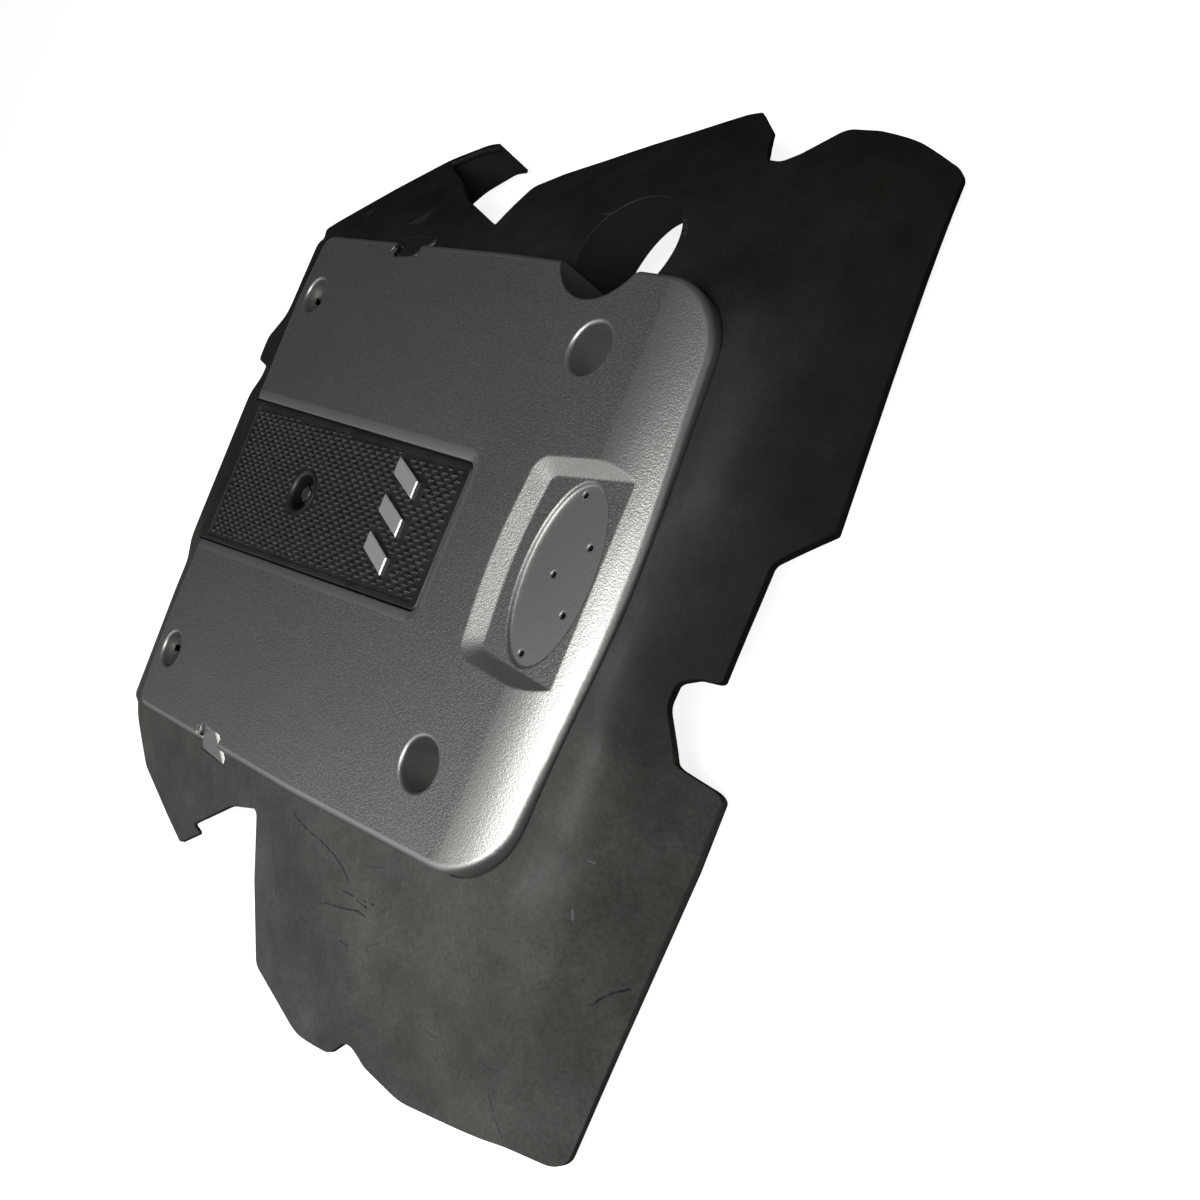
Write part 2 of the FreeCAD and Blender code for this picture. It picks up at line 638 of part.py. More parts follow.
def profile_solid(drop, radius):
    """Everything under the panel's long profile: flat, then falling at the front."""
    fall = -size("panel_fall_y")
    far = fall - radius * math.sin(FALL_TURN)
    far_level = -drop - radius * (1 - math.cos(FALL_TURN))
    mid = fall - radius * math.sin(FALL_TURN / 2)
    mid_level = -drop - radius * (1 - math.cos(FALL_TURN / 2))
    reach = size("panel_rear_y") + SKY
    wide = size("panel_rear_half") + SKY
    deep = far_level - SKY
    edges = [
        Part.LineSegment(V(-wide, reach, deep), V(-wide, reach, -drop)).toShape(),
        Part.LineSegment(V(-wide, reach, -drop), V(-wide, fall, -drop)).toShape(),
        Part.Arc(V(-wide, fall, -drop), V(-wide, mid, mid_level), V(-wide, far, far_level)).toShape(),
        Part.LineSegment(V(-wide, far, far_level), V(-wide, far, deep)).toShape(),
        Part.LineSegment(V(-wide, far, deep), V(-wide, reach, deep)).toShape(),
    ]
    return Part.Face(Part.Wire(edges)).extrude(V(2 * wide, 0, 0))


def rolled(block, radius, level):
    """The block with the edge round its top rolled over."""
    edges = []
    for edge in block.Edges:
        box = edge.BoundBox
        upright = box.ZLength > radius and box.XLength < TINY and box.YLength < TINY
        low = abs(box.ZMin - level) < TINY and abs(box.ZMax - level) < TINY
        across = box.XLength > size("panel_front_half") and box.YLength < TINY
        if not upright and not low and not across:
            edges.append(edge)
    return block.makeFillet(radius, edges)


def panel_block(inset, bottom):
    """Solid block of the panel's outer form, or of its inside when inset is the wall."""
    block = prism(grown(panel_outline, -inset), bottom, SKY)
    return block.common(profile_solid(inset, size("panel_fall_radius") - inset))


def loft_between(upper, top, lower, bottom):
    """Solid with straight sides between two outlines of as many corners."""
    return Part.makeLoft([wire_of(upper, top), wire_of(lower, bottom)], True, True)


def recess_tool(grow):
    """The front recess with its sloping walls, open at the front; grown for the wall beneath it."""
    depth = size("recess_depth") + grow
    reach = size("panel_nose_y") + SKY
    rear = size("recess_rear_y")
    run = size("recess_rear_run")
    side = size("recess_side_run")
    upper = mirrored([
        (0.0, rear + size("recess_bow"), size("recess_bow_round")),
        (size("recess_rear_half"), rear - size("recess_bow"), size("recess_round")),
        (size("recess_front_half"), -reach, 0.0),
    ])
    lower = mirrored([
        (0.0, rear + size("recess_bow") - run, size("recess_bow_round")),
        (size("recess_rear_half") - side, rear - size("recess_bow") - run, size("recess_round") - side),
        (size("recess_front_half") - side, -reach, 0.0),
    ])
    share = OVERLAP / size("recess_depth")
    lifted = [(ux + (ux - lx) * share, uy + (uy - ly) * share, radius)
              for (ux, uy, radius), (lx, ly, _) in zip(upper, lower)]
    if grow > 0:
        lifted = grown(lifted, grow)
        lower = grown(lower, grow)
    return loft_between(lifted, OVERLAP, lower, -depth)


# Places of the seat's locating holes from its centre.
SEAT_HOLES = [(-45.7, 4.1), (-19.0, -14.4), (0.0, 3.9), (19.0, -14.4), (45.7, 4.1)]


def seat_tool(grow):
    """The oval seat with its sloping wall; grown for the wall beneath it."""
    floor = -size("recess_depth")
    spread = size("seat_run") / size("seat_depth") * OVERLAP + grow
    shrink = size("seat_run") - grow
    long = size("seat_half_x")
    short = size("seat_half_y")
    top = V(0, -size("seat_y"), floor + OVERLAP)
    bottom = V(0, -size("seat_y"), floor - size("seat_depth") - grow)
    upper = Part.Ellipse(top, long + spread, short + spread)
    lower = Part.Ellipse(bottom, long - shrink, short - shrink)
    return Part.makeLoft([Part.Wire(upper.toShape()), Part.Wire(lower.toShape())], True, True)


def well_tool(x, y, radius, foot, depth, lip, grow):
    """Bolt well with a rounded lip; grown by a wall for the outside of the cup."""
    profile = [(0.0, OVERLAP), (radius + lip + grow, OVERLAP)]
    if grow > 0:
        profile = [(0.0, -size("panel_wall") / 2), (radius + grow, -size("panel_wall") / 2)]
    else:
        for index in range(LIP_STEPS + 1):
            angle = math.pi / 2 * index / LIP_STEPS
            profile.append((radius + lip * (1 - math.sin(angle)), -lip * (1 - math.cos(angle))))
    profile.append((foot + grow, -depth - grow))
    profile.append((0.0, -depth - grow))
    return turned(profile, x, y)


def make_panel():
    """The silver panel: a shell whose skirt stands on the pocket floor."""
    wall = size("panel_wall")
    outer = rolled(panel_block(0.0, floor_level), size("panel_edge_round"), floor_level)
    low = floor_level - OVERLAP
    inner = rolled(panel_block(wall, low), size("panel_edge_round") - wall, low)
    gap = size("pocket_gap")
    slot = grown(insert_outline, gap)
    widening = size("insert_rear_half") - size("insert_front_half")
    taper = widening / (size("insert_rear_y") - size("insert_front_y"))
    slot_rear = [(x + math.copysign(SKY * taper, x), y + SKY, r) if y > size("panel_mid_y") else (x, y, r)
                 for x, y, r in slot]
    slot_wall = grown(slot_rear, wall)
    inner = inner.cut(prism(slot_wall, floor_level - 2 * OVERLAP, SKY))
    inner = inner.cut(filler_column(size("filler_radius") + wall))
    inner = inner.cut(recess_tool(wall))
    inner = inner.cut(seat_tool(wall))
    front_wells = []
    rear_wells = []
    for name, x, y, level in bolt_points[:4]:
        front = level < floor_level
        radius = size("front_well_radius" if front else "rear_well_radius")
        foot = size("front_well_foot") if front else radius
        depth = size("front_well_depth") if front else size("rear_well_depth")
        lip = size("well_lip")
        inner = inner.cut(Part.makeCylinder(radius + wall, 2 * SKY, V(x, y, -SKY)))
        (front_wells if front else rear_wells).append((x, y, radius, foot, depth, lip))
    for name, x, y in panel_studs:
        inner = inner.cut(Part.makeCylinder(size("stud_boss_radius"), 2 * SKY, V(x, y, -SKY)))
    panel = outer.cut(inner)
    for well in front_wells:
        panel = panel.fuse(well_tool(*well, wall))
    for well in front_wells + rear_wells:
        panel = panel.cut(well_tool(*well, 0.0))
    for x, y, radius, foot, depth, lip in front_wells:
        panel = panel.cut(Part.makeCylinder(size("grommet_flange_radius") + size("fit_gap"), 2 * SKY,
                                            V(x, y, -depth - SKY)))
    for x, y, radius, foot, depth, lip in rear_wells:
        panel = panel.cut(Part.makeCylinder(radius, SKY, V(x, y, -depth - SKY / 2)))
        panel = panel.cut(Part.makeCylinder(radius + wall + OVERLAP, SKY, V(x, y, -depth - SKY)))
        slot_box = Part.makeBox(size("key_width"), radius + 2 * wall, size("key_height") + OVERLAP)
        slot_box.translate(V(x - size("key_width") / 2, y, -depth - OVERLAP))
        panel = panel.cut(slot_box)
    for name, x, y in panel_studs:
        stud = Part.makeCylinder(size("stud_radius"), size("stud_length") + size("base_wall") + OVERLAP,
                                 V(x, y, floor_under - size("stud_length")))
        panel = panel.fuse(stud)
    half_tube = filler_column(size("filler_radius") + wall)
    half_tube = half_tube.common(prism(panel_outline, -size("filler_panel_depth"), -size("panel_edge_round")))
    panel = panel.fuse(half_tube)
    panel = panel.cut(filler_column(size("filler_radius")))
    for side in (-1, 1):
        far = size("notch_x") + SKY
        edge = size("panel_mid_half") + size("panel_wall")
        panel = panel.cut(prism([
            (side * size("notch_x"), size("notch_front"), 2.0),
            (side * size("notch_x"), size("notch_rear"), 4.0),
            (side * edge, size("notch_rear_outer") + size("panel_edge_round"), 8.0),
            (side * far, size("notch_rear_outer"), 0.0),
            (side * far, size("notch_front"), 0.0),
        ], floor_level - OVERLAP, SKY))
        panel = panel.fuse(tab_tool(side, 0.0))
    panel = panel.cut(prism(slot_rear, floor_level - OVERLAP, SKY))
    dip = size("dip_run")
    drop = size("insert_drop")
    panel = panel.cut(loft_between(grown(slot_rear, dip), OVERLAP / 2, grown(slot_rear, -OVERLAP), -drop))
    panel = panel.cut(recess_tool(0.0))
    panel = panel.cut(seat_tool(0.0))
    for x, y in SEAT_HOLES:
        hole = Part.makeCylinder(size("seat_hole_radius"), SKY, V(x, y - size("seat_y"), -SKY / 2))
        panel = panel.cut(hole)
    return panel


def make_insert():
    """The black insert: a shell with a knurled field, a smooth rim and the centre well."""
    wall = size("panel_wall")
    top = -size("insert_drop")
    block = prism(insert_outline, floor_level, top)
    edges = [edge for edge in block.Edges if edge.BoundBox.ZMin > top - TINY]
    block = block.makeFillet(size("insert_edge_round"), edges)
    ceiling = top - wall - size("insert_field_drop")
    inside = prism(grown(insert_outline, -wall), floor_level - OVERLAP, ceiling)
    well_y = size("centre_bolt_y")
    radius = size("centre_well_radius")
    inside = inside.cut(Part.makeCylinder(radius + wall, 2 * SKY, V(0, well_y, -SKY)))
    for name, x, y in insert_studs:
        inside = inside.cut(Part.makeCylinder(size("stud_boss_radius"), 2 * SKY, V(x, y, -SKY)))
    insert = block.cut(inside)
    rim = size("insert_rim")
    field = grown(insert_outline, -rim)
    rear = size("insert_rear_y") - size("insert_rear_rim")
    field = [(x, min(y, rear), size("insert_field_round")) for x, y, _ in field]
    insert = insert.cut(prism(field, top - size("insert_field_drop"), SKY))
    lip = size("centre_well_lip")
    collar = Part.makeCylinder(radius + lip + OVERLAP, size("insert_field_drop") + OVERLAP,
                               V(0, well_y, top - size("insert_field_drop") - OVERLAP))
    insert = insert.fuse(collar)
    hole = well_tool(0.0, well_y, radius, radius, SKY, lip, 0.0)
    hole.translate(V(0, 0, top))
    insert = insert.cut(hole)
    for name, x, y in insert_studs:
        stud = Part.makeCylinder(size("stud_radius"), size("stud_length") + size("base_wall") + OVERLAP,
                                 V(x, y, floor_under - size("stud_length")))
        insert = insert.fuse(stud)
    return insert


def solid_feature(name, shape):
    """A feature that holds a finished shape."""
    feature = doc.addObject("Part::Feature", name)
    feature.Shape = shape
    feature.Label = name
    return feature


def turned_body(name, steps, x, y, level):
    """A body of stacked round steps: each is (adds, radius, start, length) in the sheet's words."""
    body = doc.addObject("PartDesign::Body", name)
    body.Label = name
    for number, (adds, radius, start, length) in enumerate(steps, start=1):
        kind = "PartDesign::AdditiveCylinder" if adds else "PartDesign::SubtractiveCylinder"
        step = body.newObject(kind, f"{name}_step{number}")
        step.setExpression("Radius", radius)
        step.setExpression("Height", length)
        step.setExpression("Placement.Base.z", start)
    body.Placement = FreeCAD.Placement(V(x, y, level), FreeCAD.Rotation())
    return body


def grommet(name, x, y, level):
    """Rubber grommet clipped round the edge of a bolt hole in the base."""
    bore = "Sizes.bore_radius + Sizes.sleeve_wall + Sizes.fit_gap"
    return turned_body(name, [
        (True, bore + " + Sizes.grommet_wall", "-Sizes.base_wall - 0.5 * Sizes.grommet_foot",
         "Sizes.base_wall + 0.5 * Sizes.grommet_foot + 0.5 * Sizes.grommet_top"),
        (True, "Sizes.grommet_flange_radius", "0", "Sizes.grommet_top"),
        (True, "Sizes.grommet_flange_radius", "-Sizes.base_wall - Sizes.grommet_foot", "Sizes.grommet_foot"),
        (False, bore, "-Sizes.base_wall - Sizes.grommet_foot - Sizes.overlap",
         "Sizes.base_wall + Sizes.grommet_foot + Sizes.grommet_top + 2 * Sizes.overlap"),
    ], x, y, level)


def sleeve(name, x, y, level):
    """Steel compression sleeve in its grommet: a tube with a flange that takes the screw's load."""
    length = "Sizes.grommet_top + Sizes.base_wall + Sizes.grommet_foot"
    return turned_body(name, [
        (True, "Sizes.bore_radius + Sizes.sleeve_wall", "-(" + length + ")",
         length + " + 0.5 * Sizes.sleeve_flange"),
        (True, "Sizes.sleeve_flange_radius", "0", "Sizes.sleeve_flange"),
        (False, "Sizes.bore_radius", "-(" + length + ") - Sizes.overlap",
         length + " + Sizes.sleeve_flange + 2 * Sizes.overlap"),
    ], x, y, level + size("grommet_top"))


def push_nut(name, x, y):
    """Spring steel push nut that grips a stud under the pocket floor."""
    return turned_body(name, [
        (True, "Sizes.nut_radius", "-Sizes.nut_thickness", "Sizes.nut_thickness"),
        (True, "0.5 * (Sizes.nut_radius + Sizes.stud_radius)", "-Sizes.nut_crown",
         "Sizes.nut_crown - 0.5 * Sizes.nut_thickness"),
        (False, "Sizes.stud_radius + Sizes.fit_gap", "-Sizes.nut_crown - Sizes.overlap",
         "Sizes.nut_crown + 2 * Sizes.overlap"),
    ], x, y, floor_under)


def plane_of(body, role):
    """One of the body's own origin planes."""
    return next(item for item in body.Origin.OriginFeatures if item.Role == role)


def sketch_on(body, name):
    """A sketch on the body's ground plane."""
    sketch = body.newObject("Sketcher::SketchObject", name)
    sketch.AttachmentSupport = [(plane_of(body, "XY_Plane"), "")]
    sketch.MapMode = "FlatFace"
    return sketch


def washer(name, x, y, level):
    """Steel washer under the centre bolt's head."""
    return turned_body(name, [
        (True, "Sizes.washer_radius", "0", "Sizes.washer_thickness"),
        (False, "Sizes.bolt_radius + Sizes.fit_gap", "-Sizes.overlap",
         "Sizes.washer_thickness + 2 * Sizes.overlap"),
    ], x, y, level)


def bolt(name, x, y, level):
    """Hexagon bolt through the centre sleeve, its head chamfered on top."""
    body = doc.addObject("PartDesign::Body", name)
    body.Label = name
    sketch = sketch_on(body, name + "_hexagon")
    corner = size("bolt_head_flat") / math.sqrt(3)
    points = [V(corner * math.cos(math.radians(60 * k)), corner * math.sin(math.radians(60 * k)), 0)
              for k in range(6)]
    for k in range(6):
        sketch.addGeometry(Part.LineSegment(points[k], points[(k + 1) % 6]), False)
    for k in range(6):
        sketch.addConstraint(Sketcher.Constraint("Coincident", k, 2, (k + 1) % 6, 1))
    circle = sketch.addGeometry(Part.Circle(V(0, 0, 0), V(0, 0, 1), corner), True)
    for k in range(6):
        sketch.addConstraint(Sketcher.Constraint("PointOnObject", k, 1, circle))
    for k in range(5):
        sketch.addConstraint(Sketcher.Constraint("Equal", k, k + 1))
    sketch.addConstraint(Sketcher.Constraint("Coincident", circle, 3, -1, 1))
    sketch.addConstraint(Sketcher.Constraint("PointOnObject", 0, 1, -1))
    radius = sketch.addConstraint(Sketcher.Constraint("Radius", circle, corner))
    sketch.setExpression(f"Constraints[{radius}]", "Sizes.bolt_head_flat / sqrt(3)")
    head = body.newObject("PartDesign::Pad", name + "_head")
    head.Profile = sketch
    head.setExpression("Length", "Sizes.bolt_head_height")
    doc.recompute()
    flange = body.newObject("PartDesign::AdditiveCylinder", name + "_flange")
    flange.setExpression("Radius", "Sizes.bolt_flange_radius")
    flange.setExpression("Height", "Sizes.bolt_flange_height")
    shank = body.newObject("PartDesign::AdditiveCylinder", name + "_shank")
    below = ("Sizes.washer_thickness + Sizes.sleeve_flange + Sizes.grommet_top + Sizes.base_wall"
             " + Sizes.grommet_foot + Sizes.bolt_reach")
    shank.setExpression("Radius", "Sizes.bolt_radius")
    shank.setExpression("Height", below)
    shank.setExpression("Placement.Base.z", "-(" + below + ")")
    body.Placement = FreeCAD.Placement(V(x, y, level), FreeCAD.Rotation())
    return body


def trim_bar(name, x, y, level):
    """Plain leaning bar of the trim, bevelled round its top, bonded to the insert's field."""
    body = doc.addObject("PartDesign::Body", name)
    body.Label = name
    sketch = sketch_on(body, name + "_outline")
    width = size("bar_width")
    length = size("bar_length")
    lean = size("bar_lean")
    points = [V(0, 0, 0), V(width, 0, 0), V(width + lean, length, 0), V(lean, length, 0)]
    for k in range(4):
        sketch.addGeometry(Part.LineSegment(points[k], points[(k + 1) % 4]), False)
    for k in range(4):
        sketch.addConstraint(Sketcher.Constraint("Coincident", k, 2, (k + 1) % 4, 1))
    sketch.addConstraint(Sketcher.Constraint("Coincident", 0, 1, -1, 1))
    sketch.addConstraint(Sketcher.Constraint("Horizontal", 0))
    sketch.addConstraint(Sketcher.Constraint("Horizontal", 2))
    sketch.addConstraint(Sketcher.Constraint("Parallel", 1, 3))
    lengths = [
        ("DistanceX", (0, 1, 0, 2), width, "Sizes.bar_width"),
        ("DistanceX", (0, 1, 2, 2), lean, "Sizes.bar_lean"),
        ("DistanceY", (0, 1, 2, 2), length, "Sizes.bar_length"),
    ]
    for kind, places, value, words in lengths:
        number = sketch.addConstraint(Sketcher.Constraint(kind, *places, value))
        sketch.setExpression(f"Constraints[{number}]", words)
    pad = body.newObject("PartDesign::Pad", name + "_pad")
    pad.Profile = sketch
    pad.setExpression("Length", "Sizes.bar_height")
    doc.recompute()
    top = [f"Edge{index + 1}" for index, edge in enumerate(pad.Shape.Edges)
           if edge.BoundBox.ZMin > size("bar_height") - TINY]
    bevel = body.newObject("PartDesign::Chamfer", name + "_bevel")
    bevel.Base = (pad, top)
    bevel.setExpression("Size", "Sizes.bar_edge")
    start_x = x - (width + lean) / 2
    start_y = y - length / 2
    body.Placement = FreeCAD.Placement(V(start_x, start_y, level), FreeCAD.Rotation())
    return body


sub_parts = [
    solid_feature("base_cover", make_base()),
    solid_feature("top_panel", make_panel()),
    solid_feature("centre_insert", make_insert()),
]
for name, x, y, level in bolt_points:
    sub_parts.append(grommet("grommet_" + name, x, y, level))
    sub_parts.append(sleeve("sleeve_" + name, x, y, level))
for name, x, y in panel_studs + insert_studs:
    sub_parts.append(push_nut("push_nut_" + name, x, y))
bolt_seat = floor_level + size("grommet_top") + size("sleeve_flange")
sub_parts.append(washer("centre_washer", 0.0, size("centre_bolt_y"), bolt_seat))
sub_parts.append(bolt("centre_bolt", 0.0, size("centre_bolt_y"), bolt_seat + size("washer_thickness")))
field_level = -size("insert_drop") - size("insert_field_drop")
for number, name in enumerate(("left", "middle", "right"), start=-1):
    x = size("bar_x") + number * size("bar_pitch")
    sub_parts.append(trim_bar("trim_bar_" + name, x, size("bar_y"), field_level))
doc.recompute()

# The frame's zero level is the face that the front sleeves stand on.
for part in sub_parts:
    part.Placement.Base.z -= seat_level
doc.recompute()

for item in doc.Objects:
    if "Invalid" in item.State or "Error" in item.State:
        raise RuntimeError("failed: " + item.Name)
for part in sub_parts:
    shape = part.Shape
    if shape.isNull() or not shape.isValid() or not shape.Solids:
        raise RuntimeError("no valid solid: " + part.Label)
    print(part.Label, "solids", len(shape.Solids), "volume", round(shape.Volume / 1000, 2), "cm3")
    shape.exportStep("parts/" + part.Label + ".step")
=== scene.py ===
import bpy
import math
import numpy as np
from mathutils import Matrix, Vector
from mathutils.bvhtree import BVHTree


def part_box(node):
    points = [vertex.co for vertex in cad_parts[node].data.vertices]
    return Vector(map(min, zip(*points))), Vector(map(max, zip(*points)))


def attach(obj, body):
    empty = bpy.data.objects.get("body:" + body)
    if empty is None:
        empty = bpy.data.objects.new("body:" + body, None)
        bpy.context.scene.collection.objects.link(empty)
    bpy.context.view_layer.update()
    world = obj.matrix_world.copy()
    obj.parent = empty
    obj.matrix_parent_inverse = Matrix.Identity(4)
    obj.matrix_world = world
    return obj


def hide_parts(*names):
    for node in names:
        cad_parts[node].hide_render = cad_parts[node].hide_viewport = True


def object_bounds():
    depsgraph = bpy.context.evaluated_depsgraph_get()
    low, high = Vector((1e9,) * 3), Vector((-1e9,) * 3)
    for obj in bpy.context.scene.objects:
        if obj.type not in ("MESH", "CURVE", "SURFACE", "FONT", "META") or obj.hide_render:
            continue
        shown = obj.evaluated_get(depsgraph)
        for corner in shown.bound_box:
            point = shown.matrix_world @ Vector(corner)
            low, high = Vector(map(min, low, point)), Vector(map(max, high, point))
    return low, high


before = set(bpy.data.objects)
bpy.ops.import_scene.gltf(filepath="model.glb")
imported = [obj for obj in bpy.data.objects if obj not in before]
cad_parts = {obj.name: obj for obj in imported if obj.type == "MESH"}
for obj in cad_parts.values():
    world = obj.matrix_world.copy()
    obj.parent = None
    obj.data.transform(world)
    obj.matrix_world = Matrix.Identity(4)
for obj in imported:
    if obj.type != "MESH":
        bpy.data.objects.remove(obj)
cad_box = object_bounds()
bpy.ops.object.select_all(action="DESELECT")

# The camera stands over the front of the cover, rolled so that the oil filler side is up, as the
# photograph was taken. Its principal point is a little left of and below the picture's middle.
camera_data = bpy.data.cameras.new("camera")
camera_data.sensor_width = 36.0
camera_data.lens = 29.12
camera_data.shift_x = 0.0207
camera_data.shift_y = 0.0590
camera_data.clip_start = 0.01
camera = bpy.data.objects.new("camera", camera_data)
bpy.context.scene.collection.objects.link(camera)
camera.location = (-0.0388, -0.4159, 0.3964)
camera.rotation_euler = (math.radians(19.3899), math.radians(39.6852), math.radians(-60.4034))
bpy.context.scene.camera = camera
bpy.context.scene.view_settings.view_transform = "Standard"

# The cover lies on a plain white floor. The floor glows a little, so that it is even and white in
# the picture, and it throws no light back up at the cover.
FLOOR_DROP = 0.0005
bpy.ops.mesh.primitive_plane_add(size=12.0, location=(0.0, 0.1, cad_box[0][2] - FLOOR_DROP))
floor = bpy.context.object
floor.name = "floor"
floor_paint = bpy.data.materials.new("floor_paint")
floor_paint.use_nodes = True
floor_shader = floor_paint.node_tree.nodes["Principled BSDF"]
floor_shader.inputs["Base Color"].default_value = (0.45, 0.45, 0.45, 1.0)
floor_shader.inputs["Roughness"].default_value = 0.9
floor_shader.inputs["Specular IOR Level"].default_value = 0.0
floor_shader.inputs["Emission Color"].default_value = (1.0, 1.0, 1.0, 1.0)
floor_shader.inputs["Emission Strength"].default_value = 0.86
floor.data.materials.append(floor_paint)
floor.visible_diffuse = False
floor.visible_glossy = False

# The studio is dim, with soft glows behind the cover's left and low in front of it, so the panel's
# flat is grey and its far end dark. A soft lamp overhead at the left lights the falling front.
STUDIO_DIM = 0.012
BACKGROUND_WHITE = 0.97
GLOW_TIGHTNESS = 14.0
GLOWS = [
    ((-0.407, 0.235, 0.883), 1.3),
    ((-0.572, 0.572, 0.588), 0.8),
    ((-0.847, 0.489, 0.208), 0.25),
    ((0.0, -0.978, 0.208), 0.67),
]
studio = bpy.data.worlds.new("studio")
studio.use_nodes = True
studio_nodes = studio.node_tree.nodes
studio_links = studio.node_tree.links
way = studio_nodes.new("ShaderNodeTexCoord")
total = None
for middle, level in GLOWS:
    nearness = studio_nodes.new("ShaderNodeVectorMath")
    nearness.operation = "DOT_PRODUCT"
    nearness.inputs[1].default_value = middle
    studio_links.new(way.outputs["Generated"], nearness.inputs[0])
    facing_it = studio_nodes.new("ShaderNodeMath")
    facing_it.operation = "MAXIMUM"
    facing_it.inputs[1].default_value = 0.0
    studio_links.new(nearness.outputs["Value"], facing_it.inputs[0])
    glow = studio_nodes.new("ShaderNodeMath")
    glow.operation = "POWER"
    glow.inputs[1].default_value = GLOW_TIGHTNESS
    studio_links.new(facing_it.outputs["Value"], glow.inputs[0])
    added = studio_nodes.new("ShaderNodeMath")
    added.operation = "MULTIPLY_ADD"
    added.inputs[1].default_value = level
    studio_links.new(glow.outputs["Value"], added.inputs[0])
    if total is None:
        added.inputs[2].default_value = STUDIO_DIM
    else:
        studio_links.new(total, added.inputs[2])
    total = added.outputs["Value"]
seen = studio_nodes.new("ShaderNodeLightPath")
behind = studio_nodes.new("ShaderNodeMix")
behind.inputs["B"].default_value = BACKGROUND_WHITE
studio_links.new(seen.outputs["Is Camera Ray"], behind.inputs["Factor"])
studio_links.new(total, behind.inputs["A"])
studio_links.new(behind.outputs["Result"], studio_nodes["Background"].inputs["Color"])
studio_nodes["Background"].inputs["Strength"].default_value = 1.0
bpy.context.scene.world = studio


def soft_light(name, place, target, width, height, watts):
    """A rectangular soft light aimed at a point."""
    data = bpy.data.lights.new(name, "AREA")
    data.shape = "RECTANGLE"
    data.size = width
    data.size_y = height
    data.energy = watts
    lamp = bpy.data.objects.new(name, data)
    bpy.context.scene.collection.objects.link(lamp)
    lamp.location = place
    lamp.rotation_euler = (Vector(target) - Vector(place)).to_track_quat("-Z", "Y").to_euler()
    return lamp


soft_light("overhead_light", (-0.3, -0.32, 1.1), (-0.05, 0.0, 0.0), 0.85, 0.7, 11.6)
soft_light("upper_light", (-0.1, 0.0, 1.3), (-0.02, -0.02, 0.0), 0.35, 0.35, 2.6)
soft_light("front_light", (-0.5, -0.9, 0.9), (-0.05, 0.0, 0.0), 0.6, 0.5, 3.8)

# Base cover: one thin shell of charcoal plastic, injection moulded. It has been handled, so its
# satin grain is mottled and dusty, with fine dark scratches and a few light nicks. Painted shade
# darkens it towards its +X side, away from the lamps, and inside the filler tube and the right skirt.


def new_material(name, color, roughness, metallic=0.0):
    """A material with a Principled shader at these values."""
    material = bpy.data.materials.new(name)
    material.use_nodes = True
    shader = material.node_tree.nodes["Principled BSDF"]
    shader.inputs["Base Color"].default_value = (*color, 1.0)
    shader.inputs["Roughness"].default_value = roughness
    shader.inputs["Metallic"].default_value = metallic
    return material


def shader_of(material):
    """The material's Principled shader."""
    return material.node_tree.nodes["Principled BSDF"]


def place_on(material, stretch=(1.0, 1.0, 1.0)):
    """Object coordinates, stretched along the axes."""
    place = material.node_tree.nodes.new("ShaderNodeTexCoord")
    mapping = material.node_tree.nodes.new("ShaderNodeMapping")
    mapping.inputs["Scale"].default_value = stretch
    material.node_tree.links.new(place.outputs["Object"], mapping.inputs["Vector"])
    return mapping.outputs["Vector"]


def noise_on(material, scale, detail, stretch=(1.0, 1.0, 1.0), roughness=0.5):
    """A noise on object coordinates, with this many grains to the metre."""
    noise = material.node_tree.nodes.new("ShaderNodeTexNoise")
    noise.inputs["Scale"].default_value = scale
    noise.inputs["Detail"].default_value = detail
    noise.inputs["Roughness"].default_value = roughness
    material.node_tree.links.new(place_on(material, stretch), noise.inputs["Vector"])
    return noise.outputs["Fac"]


def ramp_on(material, source, stops):
    """A colour ramp over a source between (position, colour) stops."""
    ramp = material.node_tree.nodes.new("ShaderNodeValToRGB")
    elements = ramp.color_ramp.elements
    while len(elements) < len(stops):
        elements.new(0.5)
    for element, (position, color) in zip(elements, stops):
        element.position = position
        element.color = (*color, 1.0)
    material.node_tree.links.new(source, ramp.inputs["Fac"])
    return ramp.outputs["Color"]


def mixed(material, share, first, second, kind="MIX"):
    """Two colours mixed by a share; each is an output or a plain colour."""
    mix = material.node_tree.nodes.new("ShaderNodeMix")
    mix.data_type = "RGBA"
    mix.blend_type = kind
    for name, value in (("Factor", share), ("A", first), ("B", second)):
        socket = mix.inputs[name]
        if isinstance(value, bpy.types.NodeSocket):
            material.node_tree.links.new(value, socket)
        elif isinstance(value, tuple):
            socket.default_value = (*value, 1.0)
        else:
            socket.default_value = value
    return mix.outputs["Result"]


def sum_on(material, kind, first, second=None, third=None, clamped=False):
    """One Math node over outputs or plain numbers."""
    node = material.node_tree.nodes.new("ShaderNodeMath")
    node.operation = kind
    node.use_clamp = clamped
    for socket, value in zip(node.inputs, (first, second, third)):
        if isinstance(value, bpy.types.NodeSocket):
            material.node_tree.links.new(value, socket)
        elif value is not None:
            socket.default_value = value
    return node.outputs["Value"]


def attribute_on(material, name):
    """The value of one of the mesh's attributes."""
    node = material.node_tree.nodes.new("ShaderNodeAttribute")
    node.attribute_name = name
    return node.outputs["Fac"]


